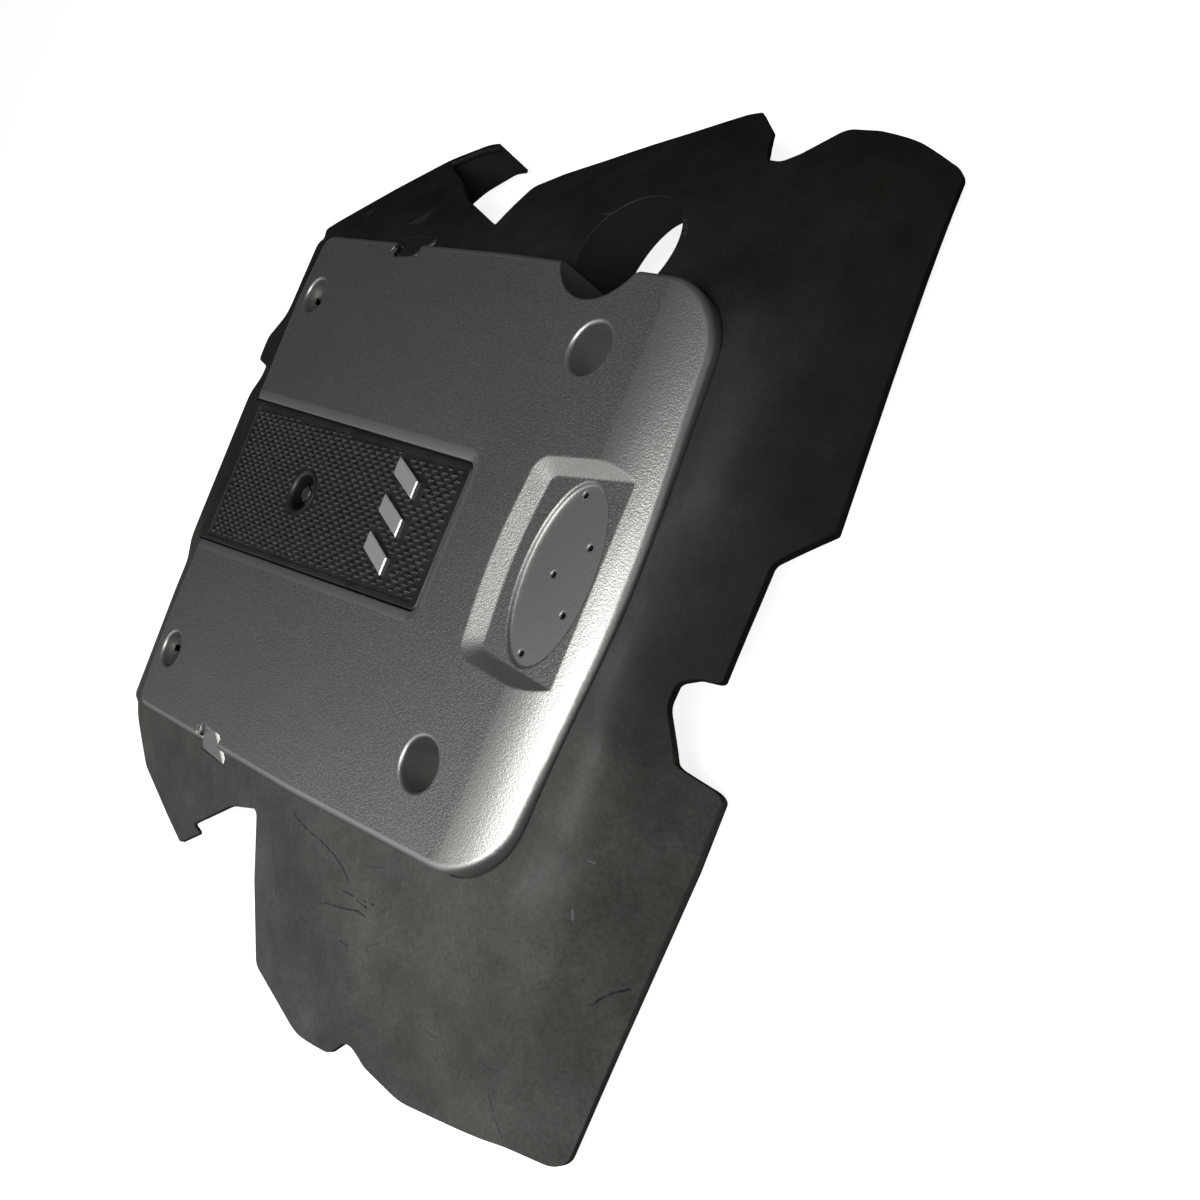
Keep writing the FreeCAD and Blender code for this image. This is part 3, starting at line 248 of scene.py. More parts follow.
def bump_on(material, source, strength, distance, before=None):
    """A bump of this height in metres, laid over an earlier normal if there is one."""
    bump = material.node_tree.nodes.new("ShaderNodeBump")
    bump.inputs["Distance"].default_value = distance
    if isinstance(strength, bpy.types.NodeSocket):
        material.node_tree.links.new(strength, bump.inputs["Strength"])
    else:
        bump.inputs["Strength"].default_value = strength
    material.node_tree.links.new(source, bump.inputs["Height"])
    if before is not None:
        material.node_tree.links.new(before, bump.inputs["Normal"])
    return bump.outputs["Normal"]


def soft_edges(material, radius):
    """Normals that round the moulding's edges by this radius."""
    bevel = material.node_tree.nodes.new("ShaderNodeBevel")
    bevel.samples = 6
    bevel.inputs["Radius"].default_value = radius
    return bevel.outputs["Normal"]


def finish_with(material, normal=None, color=None, roughness=None):
    """Links the normal, the colour and the roughness to the material's shader."""
    for name, output in (("Normal", normal), ("Base Color", color), ("Roughness", roughness)):
        if output is not None:
            material.node_tree.links.new(output, shader_of(material).inputs[name])


MM_PER_METRE = 1000.0
LINE_CORE = 0.25


def scratch_distance(material, lines):
    """Distance in plan from the nearest of these scratches, in metres."""
    flat_place = place_on(material, (1.0, 1.0, 0.0))
    links = material.node_tree.links
    nearest = None
    for line in lines:
        for start, end in zip(line, line[1:]):
            first = Vector((*start, 0.0)) / MM_PER_METRE
            along = Vector((*end, 0.0)) / MM_PER_METRE - first
            away = material.node_tree.nodes.new("ShaderNodeVectorMath")
            away.operation = "SUBTRACT"
            away.inputs[1].default_value = first
            links.new(flat_place, away.inputs[0])
            run = material.node_tree.nodes.new("ShaderNodeVectorMath")
            run.operation = "DOT_PRODUCT"
            run.inputs[1].default_value = along / along.length_squared
            links.new(away.outputs["Vector"], run.inputs[0])
            share = sum_on(material, "MULTIPLY", run.outputs["Value"], 1.0, clamped=True)
            foot = material.node_tree.nodes.new("ShaderNodeVectorMath")
            foot.operation = "SCALE"
            foot.inputs[0].default_value = along
            links.new(share, foot.inputs["Scale"])
            gap = material.node_tree.nodes.new("ShaderNodeVectorMath")
            gap.operation = "DISTANCE"
            links.new(away.outputs["Vector"], gap.inputs[0])
            links.new(foot.outputs["Vector"], gap.inputs[1])
            if nearest is None:
                nearest = gap.outputs["Value"]
            else:
                nearest = sum_on(material, "MINIMUM", nearest, gap.outputs["Value"])
    return nearest


def line_mask(material, distance, width):
    """1 on the middle of a line, fading to 0 at this distance from it."""
    reach = material.node_tree.nodes.new("ShaderNodeMapRange")
    reach.interpolation_type = "SMOOTHSTEP"
    reach.inputs["From Min"].default_value = LINE_CORE * width
    reach.inputs["From Max"].default_value = width
    reach.inputs["To Min"].default_value = 1.0
    reach.inputs["To Max"].default_value = 0.0
    material.node_tree.links.new(distance, reach.inputs["Value"])
    return reach.outputs["Result"]


# Scratches as points in plan, in millimetres: dark deep ones, faint dark ones and light nicks.
# Two smudges are rings, each given by its middle and its radius.
DEEP_SCRATCHES = [
    [(-197, 108), (-199, 103), (-201, 88), (-201, 72), (-203, 56), (-206, 46), (-211, 37)],
    [(-219, 44), (-218, 35), (-216, 24), (-213, 9)],
    [(-234, 56), (-229, 39), (-223, 22), (-223, 14)],
    [(-218, 26), (-217.5, 15)],
    [(-198, -129), (-193, -131), (-188, -134), (-184, -138)],
    [(-248, 35), (-247, 26)],
]
FAINT_SCRATCHES = [
    [(-211, 37), (-216, 40)],
    [(-239, 65), (-234, 56)],
    [(-218, 17), (-214, 12)],
    [(-277, 75), (-266, 82), (-260, 83), (-255, 78), (-254, 70)],
    [(-271, 71), (-262, 77)],
    [(-210, 135), (-226, 126), (-238, 120), (-255, 112)],
    [(-261, 115), (-267, 119)],
    [(-207, 84), (-209, 79), (-209, 74)],
    [(-210, 69), (-211, 64)],
    [(-242, 7), (-239, 10), (-232, 0)],
    [(-197, 26), (-189, 6)],
    [(-213, 2), (-210, -3)],
    [(-217, 4), (-216, 0)],
    [(-266, -98), (-275, -104), (-283, -111)],
    [(-253, -86), (-253, -94), (-251, -101)],
    [(-173, -103), (-174, -107)],
    [(-177, -107), (-177, -110)],
    [(-262, -42), (-262, -48), (-260, -53)],
]
LIGHT_NICKS = [
    [(-154, -115), (-159, -116)],
    [(-128, -115), (-128, -117)],
]
SMUDGES = [
    (-235, 100, 3.5),
    (-212, -70, 4.2),
]
SMUDGE_LENGTH = 0.5
DEEP_WIDTH = 0.00075
FAINT_WIDTH = 0.0006
NICK_WIDTH = 0.0005
SMUDGE_WIDTH = 0.0012
FAINT_LEVEL = 0.6
SMUDGE_LEVEL = 0.35
# Spread and middle across X of the painted shade that darkens the cover towards its +X side.
SIDE_SHADE_FADE = 1.6
SIDE_SHADE_MIDDLE = 0.5

base_plastic = new_material("base_plastic", (0.045, 0.045, 0.042), 0.52)
shader_of(base_plastic).inputs["Specular IOR Level"].default_value = 0.28
clouds = noise_on(base_plastic, 11.0, 6.0, roughness=0.62)
base_color = ramp_on(base_plastic, clouds, [
    (0.28, (0.028, 0.029, 0.026)),
    (0.50, (0.045, 0.045, 0.042)),
    (0.72, (0.066, 0.066, 0.062)),
])
tints = noise_on(base_plastic, 7.0, 3.0, stretch=(1.0, 0.7, 1.0))
tint_color = ramp_on(base_plastic, tints, [(0.35, (1.05, 1.0, 0.93)), (0.65, (0.95, 1.0, 1.02))])
base_color = mixed(base_plastic, 1.0, base_color, tint_color, "MULTIPLY")
dirt_color = ramp_on(base_plastic, noise_on(base_plastic, 34.0, 9.0, roughness=0.68), [
    (0.34, (0.80, 0.79, 0.77)),
    (0.50, (1.0, 1.0, 1.0)),
    (0.68, (1.22, 1.20, 1.17)),
])
base_color = mixed(base_plastic, 1.0, base_color, dirt_color, "MULTIPLY")
speck_color = ramp_on(base_plastic, noise_on(base_plastic, 420.0, 3.0), [
    (0.30, (0.80, 0.80, 0.80)),
    (0.50, (1.0, 1.0, 1.0)),
    (0.76, (1.22, 1.22, 1.2)),
])
base_color = mixed(base_plastic, 1.0, base_color, speck_color, "MULTIPLY")
# Painted shade: the colour is multiplied down from nearly full on the -X side to about a sixth on the +X
# side, away from the lamps.
across = base_plastic.node_tree.nodes.new("ShaderNodeSeparateXYZ")
base_plastic.node_tree.links.new(place_on(base_plastic), across.inputs["Vector"])
side_shade_share = sum_on(base_plastic, "MULTIPLY_ADD", across.outputs["X"], SIDE_SHADE_FADE, SIDE_SHADE_MIDDLE, clamped=True)
painted_side_shade = ramp_on(base_plastic, side_shade_share, [
    (0.30, (0.98, 0.98, 0.97)),
    (0.36, (0.84, 0.84, 0.82)),
    (0.45, (0.29, 0.29, 0.27)),
    (0.9, (0.15, 0.15, 0.13)),
])
base_color = mixed(base_plastic, 1.0, base_color, painted_side_shade, "MULTIPLY")
outside = attribute_on(base_plastic, "outside")
deep_lines = line_mask(base_plastic, scratch_distance(base_plastic, DEEP_SCRATCHES), DEEP_WIDTH)
faint_lines = line_mask(base_plastic, scratch_distance(base_plastic, FAINT_SCRATCHES), FAINT_WIDTH)
light_lines = line_mask(base_plastic, scratch_distance(base_plastic, LIGHT_NICKS), NICK_WIDTH)
patchy = ramp_on(base_plastic, noise_on(base_plastic, 160.0, 2.0), [
    (0.36, (0.35, 0.35, 0.35)),
    (0.52, (1.0, 1.0, 1.0)),
])
deep_share = sum_on(base_plastic, "MULTIPLY", deep_lines, patchy)
deep_share = sum_on(base_plastic, "MULTIPLY", deep_share, outside)
faint_share = sum_on(base_plastic, "MULTIPLY", faint_lines, patchy)
faint_outside = sum_on(base_plastic, "MULTIPLY", outside, FAINT_LEVEL)
faint_share = sum_on(base_plastic, "MULTIPLY", faint_share, faint_outside)
light_share = sum_on(base_plastic, "MULTIPLY", light_lines, outside)
base_color = mixed(base_plastic, deep_share, base_color, (0.006, 0.006, 0.006))
base_color = mixed(base_plastic, faint_share, base_color, (0.012, 0.012, 0.012))
base_color = mixed(base_plastic, light_share, base_color, (0.10, 0.10, 0.095))
for x, y, radius in SMUDGES:
    from_middle = scratch_distance(base_plastic, [[(x, y), (x + SMUDGE_LENGTH, y)]])
    from_ring = sum_on(base_plastic, "SUBTRACT", from_middle, radius / MM_PER_METRE)
    ring = line_mask(base_plastic, sum_on(base_plastic, "ABSOLUTE", from_ring), SMUDGE_WIDTH)
    smudge_outside = sum_on(base_plastic, "MULTIPLY", outside, SMUDGE_LEVEL)
    ring_share = sum_on(base_plastic, "MULTIPLY", ring, smudge_outside)
    base_color = mixed(base_plastic, ring_share, base_color, (0.018, 0.018, 0.017))
# Painted shade inside the filler tube and under the right skirt, where these faces lie in shade.
hollow_painted_shade = attribute_on(base_plastic, "hollow_painted_shade")
base_color = mixed(base_plastic, hollow_painted_shade, base_color, (0.020, 0.019, 0.016))
wear = noise_on(base_plastic, 38.0, 6.0)
base_shine = ramp_on(base_plastic, wear, [(0.3, (0.46, 0.46, 0.46)), (0.7, (0.62, 0.62, 0.62))])
base_grain = noise_on(base_plastic, 1300.0, 2.0)
base_normal = bump_on(base_plastic, base_grain, 0.5, 0.00008, soft_edges(base_plastic, 0.0011))
base_normal = bump_on(base_plastic, deep_share, 0.6, -0.0002, base_normal)
finish_with(base_plastic, base_normal, base_color, base_shine)


MERGE_REACH = 0.000005


def merged_copy(node, name, angle):
    """A visible copy of a CAD node with its triangles joined, smooth up to an angle in degrees."""
    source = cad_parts[node]
    piece = source.copy()
    piece.data = source.data.copy()
    piece.name = name
    bpy.context.scene.collection.objects.link(piece)
    piece.parent = None
    bpy.ops.object.select_all(action="DESELECT")
    piece.select_set(True)
    bpy.context.view_layer.objects.active = piece
    bpy.ops.object.mode_set(mode="EDIT")
    bpy.ops.mesh.select_all(action="SELECT")
    bpy.ops.mesh.remove_doubles(threshold=MERGE_REACH)
    bpy.ops.object.mode_set(mode="OBJECT")
    if piece.data.has_custom_normals:
        bpy.ops.mesh.customdata_custom_splitnormals_clear()
    bpy.ops.object.shade_smooth_by_angle(angle=math.radians(angle))
    piece.data.materials.clear()
    return piece


def face_values(piece, name, value_of):
    """Stores value_of(face) for every face, for the material to read."""
    values = piece.data.attributes.new(name, "FLOAT", "FACE")
    for face in piece.data.polygons:
        values.data[face.index].value = value_of(face)


def ride_as(piece, node, material):
    """Fixes a finished piece to the frame in place of its CAD node."""
    piece.data.materials.append(material)
    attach(piece, "root")
    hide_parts(node)


base = merged_copy("base_cover", "base_shell", 32.0)

# The moulding's top is one smooth skin. Its normals are read on a fine grid from above, softened
# over a few millimetres and given back to the faces, so that no facet shows in the sheen.
GRID_PITCH = 0.003
GRID_MARGIN = 0.012
SOFTNESS = 2.2
LEAST_RISE = 0.32
POCKET_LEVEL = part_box("top_panel")[1].z - 0.016
POCKET_BAND = 0.0004
SKIN = 0.0006
EYE_HEIGHT = 0.3
LEAST_WEIGHT = 0.0001
LEAST_LENGTH = 0.5
base_low, base_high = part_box("base_cover")
columns = int((base_high.x - base_low.x + 2 * GRID_MARGIN) / GRID_PITCH) + 1
rows = int((base_high.y - base_low.y + 2 * GRID_MARGIN) / GRID_PITCH) + 1
corner = Vector((base_low.x - GRID_MARGIN, base_low.y - GRID_MARGIN, base_high.z + GRID_MARGIN))
base_tree = BVHTree.FromPolygons(
    [vertex.co for vertex in base.data.vertices], [list(face.vertices) for face in base.data.polygons])
skin_normals = np.zeros((columns, rows, 3))
skin_weights = np.zeros((columns, rows))
for column in range(columns):
    for row in range(rows):
        eye = corner + Vector((column * GRID_PITCH, row * GRID_PITCH, 0.0))
        hit, normal, _, _ = base_tree.ray_cast(eye, Vector((0.0, 0.0, -1.0)))
        if hit is not None and normal.z > LEAST_RISE and abs(hit.z - POCKET_LEVEL) > POCKET_BAND:
            skin_normals[column, row] = normal
            skin_weights[column, row] = 1.0


def softened(values, spread):
    """The grid blurred with a bell curve that is this many cells wide."""
    reach = int(3 * spread)
    bell = np.exp(-0.5 * (np.arange(-reach, reach + 1) / spread) ** 2)
    for axis in (0, 1):
        values = np.apply_along_axis(lambda line: np.convolve(line, bell, mode="same"), axis, values)
    return values


soft_weights = softened(skin_weights, SOFTNESS)
soft_normals = softened(skin_normals * skin_weights[..., None], SOFTNESS)
found = soft_weights > LEAST_WEIGHT
soft_normals[found] /= soft_weights[found][:, None]


def skin_normal(place):
    """The softened normal of the skin over a place in plan."""
    across = (place.x - corner.x) / GRID_PITCH
    along = (place.y - corner.y) / GRID_PITCH
    column = min(max(int(across), 0), columns - 2)
    row = min(max(int(along), 0), rows - 2)
    share_x = across - column
    share_y = along - row
    near = soft_normals[column, row] * (1 - share_x) + soft_normals[column + 1, row] * share_x
    far = soft_normals[column, row + 1] * (1 - share_x) + soft_normals[column + 1, row + 1] * share_x
    return Vector(near * (1 - share_y) + far * share_y)


def on_skin(face):
    """Whether a face belongs to the moulding's top skin."""
    if face.normal.z < LEAST_RISE or abs(face.center.z - POCKET_LEVEL) < POCKET_BAND:
        return False
    hit = base_tree.ray_cast(face.center + Vector((0.0, 0.0, EYE_HEIGHT)), Vector((0.0, 0.0, -1.0)))[0]
    return hit is not None and abs(hit.z - face.center.z) < SKIN


loop_normals = [(0.0, 0.0, 0.0)] * len(base.data.loops)
skin_faces = set()
for face in base.data.polygons:
    if on_skin(face):
        skin_faces.add(face.index)
        for loop in face.loop_indices:
            blended = skin_normal(base.data.vertices[base.data.loops[loop].vertex_index].co)
            if blended.length > LEAST_LENGTH:
                loop_normals[loop] = tuple(blended.normalized())
base.data.normals_split_custom_set(loop_normals)
face_values(base, "outside", lambda face: 1.0 if face.index in skin_faces else 0.0)

# Where the base gets painted shade: inside the filler tube and under the right skirt.
FILLER = Vector((0.192, 0.019, 0.0))
FILLER_REACH = 0.0412
FILLER_SHADE = 0.75
SKIRT_SIDE = 0.16
SKIRT_FRONT = 0.22
SKIRT_SHADE = 0.9


def hollow_painted_shade_of(face):
    """How much painted shade a face gets inside the filler tube or under the skirt, where shade falls."""
    if face.index in skin_faces:
        return 0.0
    if (face.center.xy - FILLER.xy).length < FILLER_REACH:
        return FILLER_SHADE
    return SKIRT_SHADE if face.center.x > SKIRT_SIDE and face.center.y > SKIRT_FRONT else 0.0


face_values(base, "hollow_painted_shade", hollow_painted_shade_of)
ride_as(base, "base_cover", base_plastic)

# Top panel: a shell of grained plastic under metallic silver-grey paint. The leather grain covers
# its flat, the falling front and the recess; the bolt wells, rolled edges and oval seat are smooth.
PANEL_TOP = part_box("top_panel")[1].z
FALL_START = -0.038
FALL_RADIUS = 0.108
GRAIN_TILT = 0.9985
SLOPE_GRAIN = 0.5
SEAT_LEVEL = PANEL_TOP - 0.0067
SEAT_FRONT = FALL_START - 0.03
SEAT_HALF = 0.06
SEAT_GRAIN = 0.25
RECESS_FLOOR = PANEL_TOP - 0.0047
RECESS_HALF = 0.0725
RECESS_REAR = 0.0125
RECESS_FRONT = -0.105
NOTCH_IN = 0.1815
NOTCH_FRONT = 0.2095
NOTCH_REAR = 0.2580
# Share of painted shade on the right notch's tab and edges.
NOTCH_PAINTED_SHADE = 0.85
FLAT_TILT = 0.9995
FALL_TILT = 0.998
WALL_TILT = 0.3
WALL_REACH = 0.0035
FLOOR_SLACK = 0.0004
LEVEL_SLACK = 0.0003

panel_paint = new_material("panel_paint", (0.36, 0.365, 0.36), 0.36, 0.86)
leather_cells = panel_paint.node_tree.nodes.new("ShaderNodeTexVoronoi")
leather_cells.feature = "SMOOTH_F1"
leather_cells.inputs["Scale"].default_value = 900.0
leather_cells.inputs["Smoothness"].default_value = 0.6
warp = panel_paint.node_tree.nodes.new("ShaderNodeTexNoise")
warp.inputs["Scale"].default_value = 300.0
warp.inputs["Detail"].default_value = 2.0
panel_place = place_on(panel_paint)
panel_paint.node_tree.links.new(panel_place, warp.inputs["Vector"])
warped = panel_paint.node_tree.nodes.new("ShaderNodeVectorMath")
warped.operation = "MULTIPLY_ADD"
warped.inputs[1].default_value = (0.0016, 0.0016, 0.0016)
panel_paint.node_tree.links.new(warp.outputs["Color"], warped.inputs[0])
panel_paint.node_tree.links.new(panel_place, warped.inputs[2])
panel_paint.node_tree.links.new(warped.outputs["Vector"], leather_cells.inputs["Vector"])
stipple = noise_on(panel_paint, 800.0, 3.0)
leather = sum_on(panel_paint, "MULTIPLY_ADD", leather_cells.outputs["Distance"], -0.9, stipple)
grain_share = attribute_on(panel_paint, "grain")
leather_strength = sum_on(panel_paint, "MULTIPLY", grain_share, 0.75)
leather_normal = bump_on(panel_paint, leather, leather_strength, 0.00022, soft_edges(panel_paint, 0.0018))
flake = noise_on(panel_paint, 2600.0, 1.0)
flake_normal = bump_on(panel_paint, flake, 0.22, 0.00005, leather_normal)
shade = ramp_on(panel_paint, noise_on(panel_paint, 9.0, 4.0), [
    (0.3, (0.330, 0.338, 0.318)),
    (0.7, (0.370, 0.378, 0.357)),
])
pits = ramp_on(panel_paint, leather, [
    (0.0, (0.58, 0.58, 0.57)),
    (0.45, (1.0, 1.0, 1.0)),
    (0.8, (1.15, 1.15, 1.15)),
])
pit_share = sum_on(panel_paint, "MULTIPLY", grain_share, 0.8)
panel_color = mixed(panel_paint, pit_share, shade, mixed(panel_paint, 1.0, shade, pits, "MULTIPLY"))
# Painted shade: the right notch's tab and edges are mixed towards a dark brown.
panel_color = mixed(panel_paint, attribute_on(panel_paint, "notch_painted_shade"), panel_color, (0.030, 0.026, 0.022))
finish_with(panel_paint, flake_normal, panel_color)

panel = merged_copy("top_panel", "silver_panel", 18.4)


def fall_way(middle):
    """The way that the panel's top faces over a place, where nothing is sunk into it."""
    lean = max(0.0, min(1.0, (FALL_START - middle.y) / FALL_RADIUS))
    return Vector((0.0, -lean, math.sqrt(1.0 - lean * lean)))


def part_of(face):
    """Which part of the front recess a face belongs to, if any."""
    middle = face.center
    inside = abs(middle.x) <= RECESS_HALF and RECESS_FRONT < middle.y < RECESS_REAR
    if not inside or middle.z < RECESS_FLOOR:
        return "around"
    if face.normal.z > FLAT_TILT:
        return "recess_floor" if middle.z < RECESS_FLOOR + FLOOR_SLACK else "around"
    if face.normal.z < WALL_TILT or face.normal.dot(fall_way(middle)) > FALL_TILT:
        return "around"
    return "recess_wall"


def grain_of(face):
    """1 on the panel's grained faces, less in the oval seat and 0 on its smooth ones."""
    middle = face.center
    if middle.z < SEAT_LEVEL + LEVEL_SLACK and middle.y > SEAT_FRONT and abs(middle.x) < SEAT_HALF:
        return SEAT_GRAIN
    if part_of(face) in ("recess_floor", "recess_wall"):
        return 1.0 if face.normal.z > FLAT_TILT else SLOPE_GRAIN
    if face.normal.dot(fall_way(middle)) < GRAIN_TILT or middle.z < 0.0:
        return 0.0
    return 1.0 if face.normal.z > FLAT_TILT else SLOPE_GRAIN


def notch_shade_of(face):
    """Painted shade on the sloping tab of the right notch and on the notch's edges, which lie in shade."""
    middle = face.center
    sunk = middle.z < PANEL_TOP - LEVEL_SLACK and face.normal.z < FLAT_TILT
    return NOTCH_PAINTED_SHADE if sunk and middle.x > NOTCH_IN and NOTCH_FRONT < middle.y < NOTCH_REAR else 0.0


def weigh_normals(piece):
    """Turns the active piece's normals towards its larger faces, up to its sharp edges."""
    weighted = piece.modifiers.new("weighted", "WEIGHTED_NORMAL")
    weighted.keep_sharp = True
    bpy.ops.object.modifier_apply(modifier=weighted.name)


face_values(panel, "grain", grain_of)
face_values(panel, "notch_painted_shade", notch_shade_of)
parts = [part_of(face) for face in panel.data.polygons]
edge_parts = {}
for face in panel.data.polygons:
    for key in face.edge_keys:
        edge_parts.setdefault(key, set()).add(parts[face.index])
for edge in panel.data.edges:
    if len(edge_parts[edge.key]) > 1:
        edge.use_edge_sharp = True
weigh_normals(panel)
wall_faces = [face for face in panel.data.polygons if parts[face.index] == "recess_wall"]
panel_normals = [tuple(corner_normal.vector) for corner_normal in panel.data.corner_normals]
for face in wall_faces:
    for loop in face.loop_indices:
        place = panel.data.vertices[panel.data.loops[loop].vertex_index].co
        blended = Vector((0.0, 0.0, 0.0))
        for other in wall_faces:
            gap = (other.center - place).length / WALL_REACH
            blended += other.normal * other.area * math.exp(-0.5 * gap * gap)
        if blended.length > 0.0:
            panel_normals[loop] = tuple(blended.normalized())
panel.data.normals_split_custom_set(panel_normals)
ride_as(panel, "top_panel", panel_paint)

# Centre insert: black moulded plastic with a smooth rim and the well of the centre bolt. Its
# field is knurled: rows of small rounded diamonds, cut short by the rim, the well and the bars.
RIM_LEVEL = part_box("centre_insert")[1].z
FIELD_LEVEL = RIM_LEVEL - 0.0008
DIAMOND_ACROSS = 0.00637
DIAMOND_ALONG = 0.01052
DIAMOND_HEIGHT = 0.0017
DIAMOND_FILL = 0.46
DIAMOND_TOP = 0.34
DIAMOND_ROUNDING = 0.0004
DIAMOND_SINK = 0.0002
DIAMOND_SMOOTH = 60.0
DIAMONDS_ASIDE = 10
FIELD_FRONT = 0.0655
FIELD_REAR = 0.354
FIELD_FRONT_HALF = 0.0430
FIELD_REAR_HALF = 0.0555
EDGE_ROOM = 0.0012
FULL_ROOM = 0.0034
CUT_SCALE = 0.72
WELL_PLACE = Vector((0.0, 0.241))
WELL_ROOM = 0.0190
BAR_LEAN = 0.013
BAR_WIDTH = 0.012
BAR_ROOM = 0.0022

insert_plastic = new_material("insert_plastic", (0.016, 0.016, 0.016), 0.42)
insert_grain = noise_on(insert_plastic, 1500.0, 2.0)
insert_normal = bump_on(insert_plastic, insert_grain, 0.4, 0.00006, soft_edges(insert_plastic, 0.0007))
insert_dust = ramp_on(insert_plastic, noise_on(insert_plastic, 30.0, 6.0),
                      [(0.35, (0.006, 0.006, 0.006)), (0.75, (0.014, 0.014, 0.013))])
insert_shine = ramp_on(insert_plastic, noise_on(insert_plastic, 70.0, 5.0),
                       [(0.3, (0.36, 0.36, 0.36)), (0.7, (0.52, 0.52, 0.52))])
finish_with(insert_plastic, insert_normal, insert_dust, insert_shine)
insert = merged_copy("centre_insert", "insert_shell", 21.0)
weigh_normals(insert)
ride_as(insert, "centre_insert", insert_plastic)

diamond_plastic = new_material("diamond_plastic", (0.05, 0.05, 0.048), 0.34)
diamond_dust = ramp_on(diamond_plastic, noise_on(diamond_plastic, 240.0, 4.0),
                       [(0.35, (0.008, 0.008, 0.008)), (0.7, (0.027, 0.027, 0.026))])
diamond_normal = bump_on(diamond_plastic, noise_on(diamond_plastic, 1500.0, 2.0), 0.4, 0.00006)
finish_with(diamond_plastic, diamond_normal, diamond_dust)

bpy.ops.object.select_all(action="DESELECT")
bpy.ops.mesh.primitive_cone_add(
    vertices=4, radius1=1.0, radius2=DIAMOND_TOP, depth=1.0, end_fill_type="NGON")
diamond = bpy.context.object
diamond.name = "diamond"
diamond.scale = (DIAMOND_FILL * DIAMOND_ACROSS, DIAMOND_FILL * DIAMOND_ALONG, DIAMOND_HEIGHT)
bpy.ops.object.transform_apply(location=False, rotation=False, scale=True)
bpy.ops.object.mode_set(mode="EDIT")
bpy.ops.mesh.select_all(action="SELECT")
bpy.ops.mesh.bevel(offset=DIAMOND_ROUNDING, segments=2, profile=0.5, affect="EDGES")
bpy.ops.object.mode_set(mode="OBJECT")
bpy.ops.object.shade_smooth_by_angle(angle=math.radians(DIAMOND_SMOOTH))
diamond.data.materials.append(diamond_plastic)

bars = [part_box(f"trim_bar_{side}") for side in ("left", "middle", "right")]


def edge_room(x, y):
    """How far a place lies inside the knurled field's edge."""
    share = (y - FIELD_FRONT) / (FIELD_REAR - FIELD_FRONT)
    half = FIELD_FRONT_HALF + (FIELD_REAR_HALF - FIELD_FRONT_HALF) * share
    return min(half - abs(x), y - FIELD_FRONT, FIELD_REAR - y)


def under_bar(x, y):
    """Whether a diamond here would run into one of the trim bars."""
    for low, high in bars:
        if low.y - BAR_ROOM < y < high.y + BAR_ROOM:
            lean = BAR_LEAN * (y - low.y) / (high.y - low.y)
            if low.x + lean - BAR_ROOM < x < low.x + lean + BAR_WIDTH + BAR_ROOM:
                return True
    return False


diamonds = []
row_count = int((FIELD_REAR - FIELD_FRONT) / (DIAMOND_ALONG / 2)) + 1
for row in range(row_count):
    y = FIELD_FRONT + 0.5 * row * DIAMOND_ALONG
    shift = 0.5 * DIAMOND_ACROSS if row % 2 else 0.0
    for step in range(-DIAMONDS_ASIDE, DIAMONDS_ASIDE + 1):
        x = step * DIAMOND_ACROSS + shift
        room = edge_room(x, y)
        if room < EDGE_ROOM or under_bar(x, y) or (Vector((x, y)) - WELL_PLACE).length < WELL_ROOM:
            continue
        copy = diamond.copy()
        copy.data = diamond.data.copy()
        bpy.context.scene.collection.objects.link(copy)
        copy.location = (x, y, FIELD_LEVEL + 0.5 * DIAMOND_HEIGHT - DIAMOND_SINK)
        if room < FULL_ROOM:
            copy.scale = (CUT_SCALE, CUT_SCALE, 1.0)
        diamonds.append(copy)
bpy.ops.object.select_all(action="DESELECT")
for copy in diamonds:
    copy.select_set(True)
bpy.context.view_layer.objects.active = diamonds[0]
bpy.ops.object.join()
knurling = bpy.context.object
knurling.name = "knurling"
bpy.ops.object.transform_apply(location=True, rotation=True, scale=True)
bpy.data.objects.remove(diamond)
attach(knurling, "root")
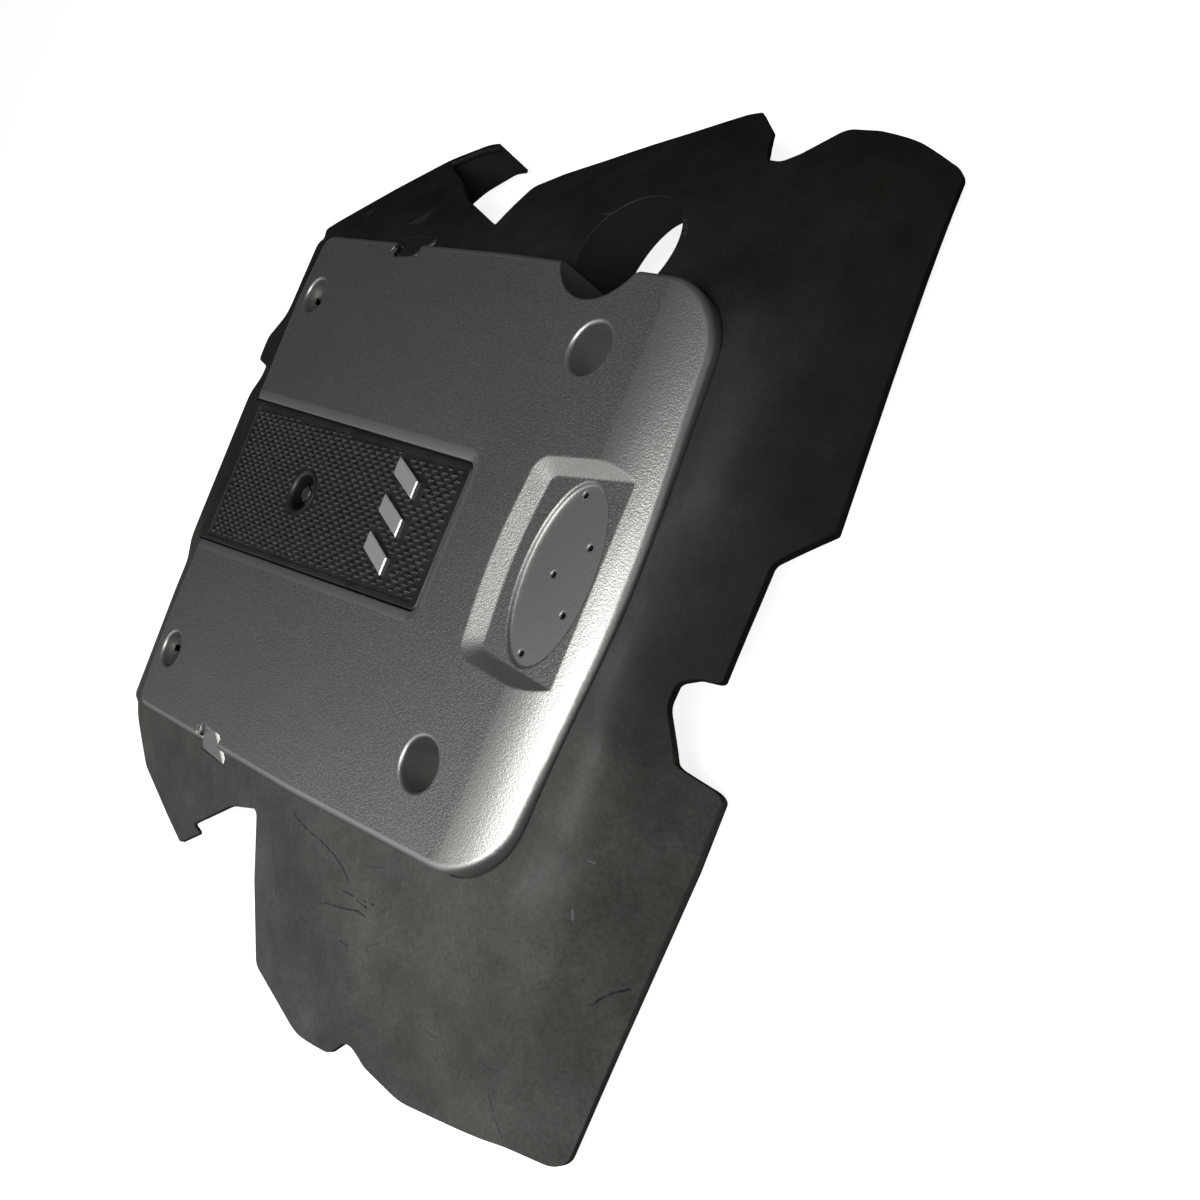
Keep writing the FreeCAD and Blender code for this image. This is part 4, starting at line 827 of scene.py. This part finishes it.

# Trim bars: three plain leaning bars of satin silver plastic, bonded to the field. Their colour is
# painted by the way each face turns: painted highlights on the bevels, painted shade on the steep
# sides and a darker top.
trim_silver = new_material("trim_silver", (0.42, 0.43, 0.44), 0.34, 0.62)
facing = trim_silver.node_tree.nodes.new("ShaderNodeNewGeometry")
facing_parts = trim_silver.node_tree.nodes.new("ShaderNodeSeparateXYZ")
trim_silver.node_tree.links.new(facing.outputs["True Normal"], facing_parts.inputs["Vector"])
# Painted light: bright on the bevels, dark on the steep sides and darker on the tops.
bar_painted_light = ramp_on(trim_silver, facing_parts.outputs["Z"], [
    (0.3, (0.20, 0.20, 0.21)),
    (0.68, (0.72, 0.73, 0.74)),
    (0.9, (0.80, 0.81, 0.82)),
    (0.97, (0.48, 0.49, 0.50)),
])
bar_grain = bump_on(trim_silver, noise_on(trim_silver, 1800.0, 2.0), 0.3, 0.00004)
finish_with(trim_silver, bar_grain, bar_painted_light)
for side in ("left", "middle", "right"):
    bar = merged_copy(f"trim_bar_{side}", f"{side}_bar", 20.0)
    ride_as(bar, f"trim_bar_{side}", trim_silver)

# Fixings: rubber grommets, zinc plated compression sleeves, spring steel push nuts, and the
# bright bolt and washer in the centre well. They carry a light mottle from handling.


def metal_finish(name, dark, bright, roughness, streaks):
    """A plated metal, mottled between two colours with this many streaks to the metre."""
    metal = new_material(name, bright, roughness, 1.0)
    mottle = noise_on(metal, streaks, 5.0)
    color = ramp_on(metal, mottle, [(0.3, dark), (0.7, bright)])
    finish_with(metal, bump_on(metal, mottle, 0.25, 0.00005, soft_edges(metal, 0.0003)), color)
    return metal


sleeve_steel = metal_finish("sleeve_steel", (0.34, 0.34, 0.31), (0.56, 0.56, 0.53), 0.36, 260.0)
nut_steel = metal_finish("nut_steel", (0.14, 0.14, 0.14), (0.30, 0.30, 0.29), 0.48, 320.0)
bolt_steel = metal_finish("bolt_steel", (0.52, 0.52, 0.50), (0.74, 0.74, 0.71), 0.22, 300.0)
grommet_rubber = new_material("grommet_rubber", (0.018, 0.018, 0.018), 0.72)
rubber_color = ramp_on(grommet_rubber, noise_on(grommet_rubber, 150.0, 4.0),
                       [(0.3, (0.012, 0.012, 0.012)), (0.75, (0.032, 0.032, 0.031))])
rubber_normal = bump_on(grommet_rubber, noise_on(grommet_rubber, 900.0, 2.0), 0.5, 0.0001,
                        soft_edges(grommet_rubber, 0.0005))
finish_with(grommet_rubber, rubber_normal, rubber_color)
FIXINGS = {
    "sleeve": ("sleeve_steel", sleeve_steel),
    "push_nut": ("nut_steel", nut_steel),
    "centre_bolt": ("bolt_steel", bolt_steel),
    "centre_washer": ("bolt_steel", bolt_steel),
    "grommet": ("grommet_rubber", grommet_rubber),
}
for node in sorted(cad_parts):
    for kind, (slot_name, material) in FIXINGS.items():
        if node.startswith(kind):
            fixing = merged_copy(node, f"{node}_fitted", 30.0)
            ride_as(fixing, node, material)
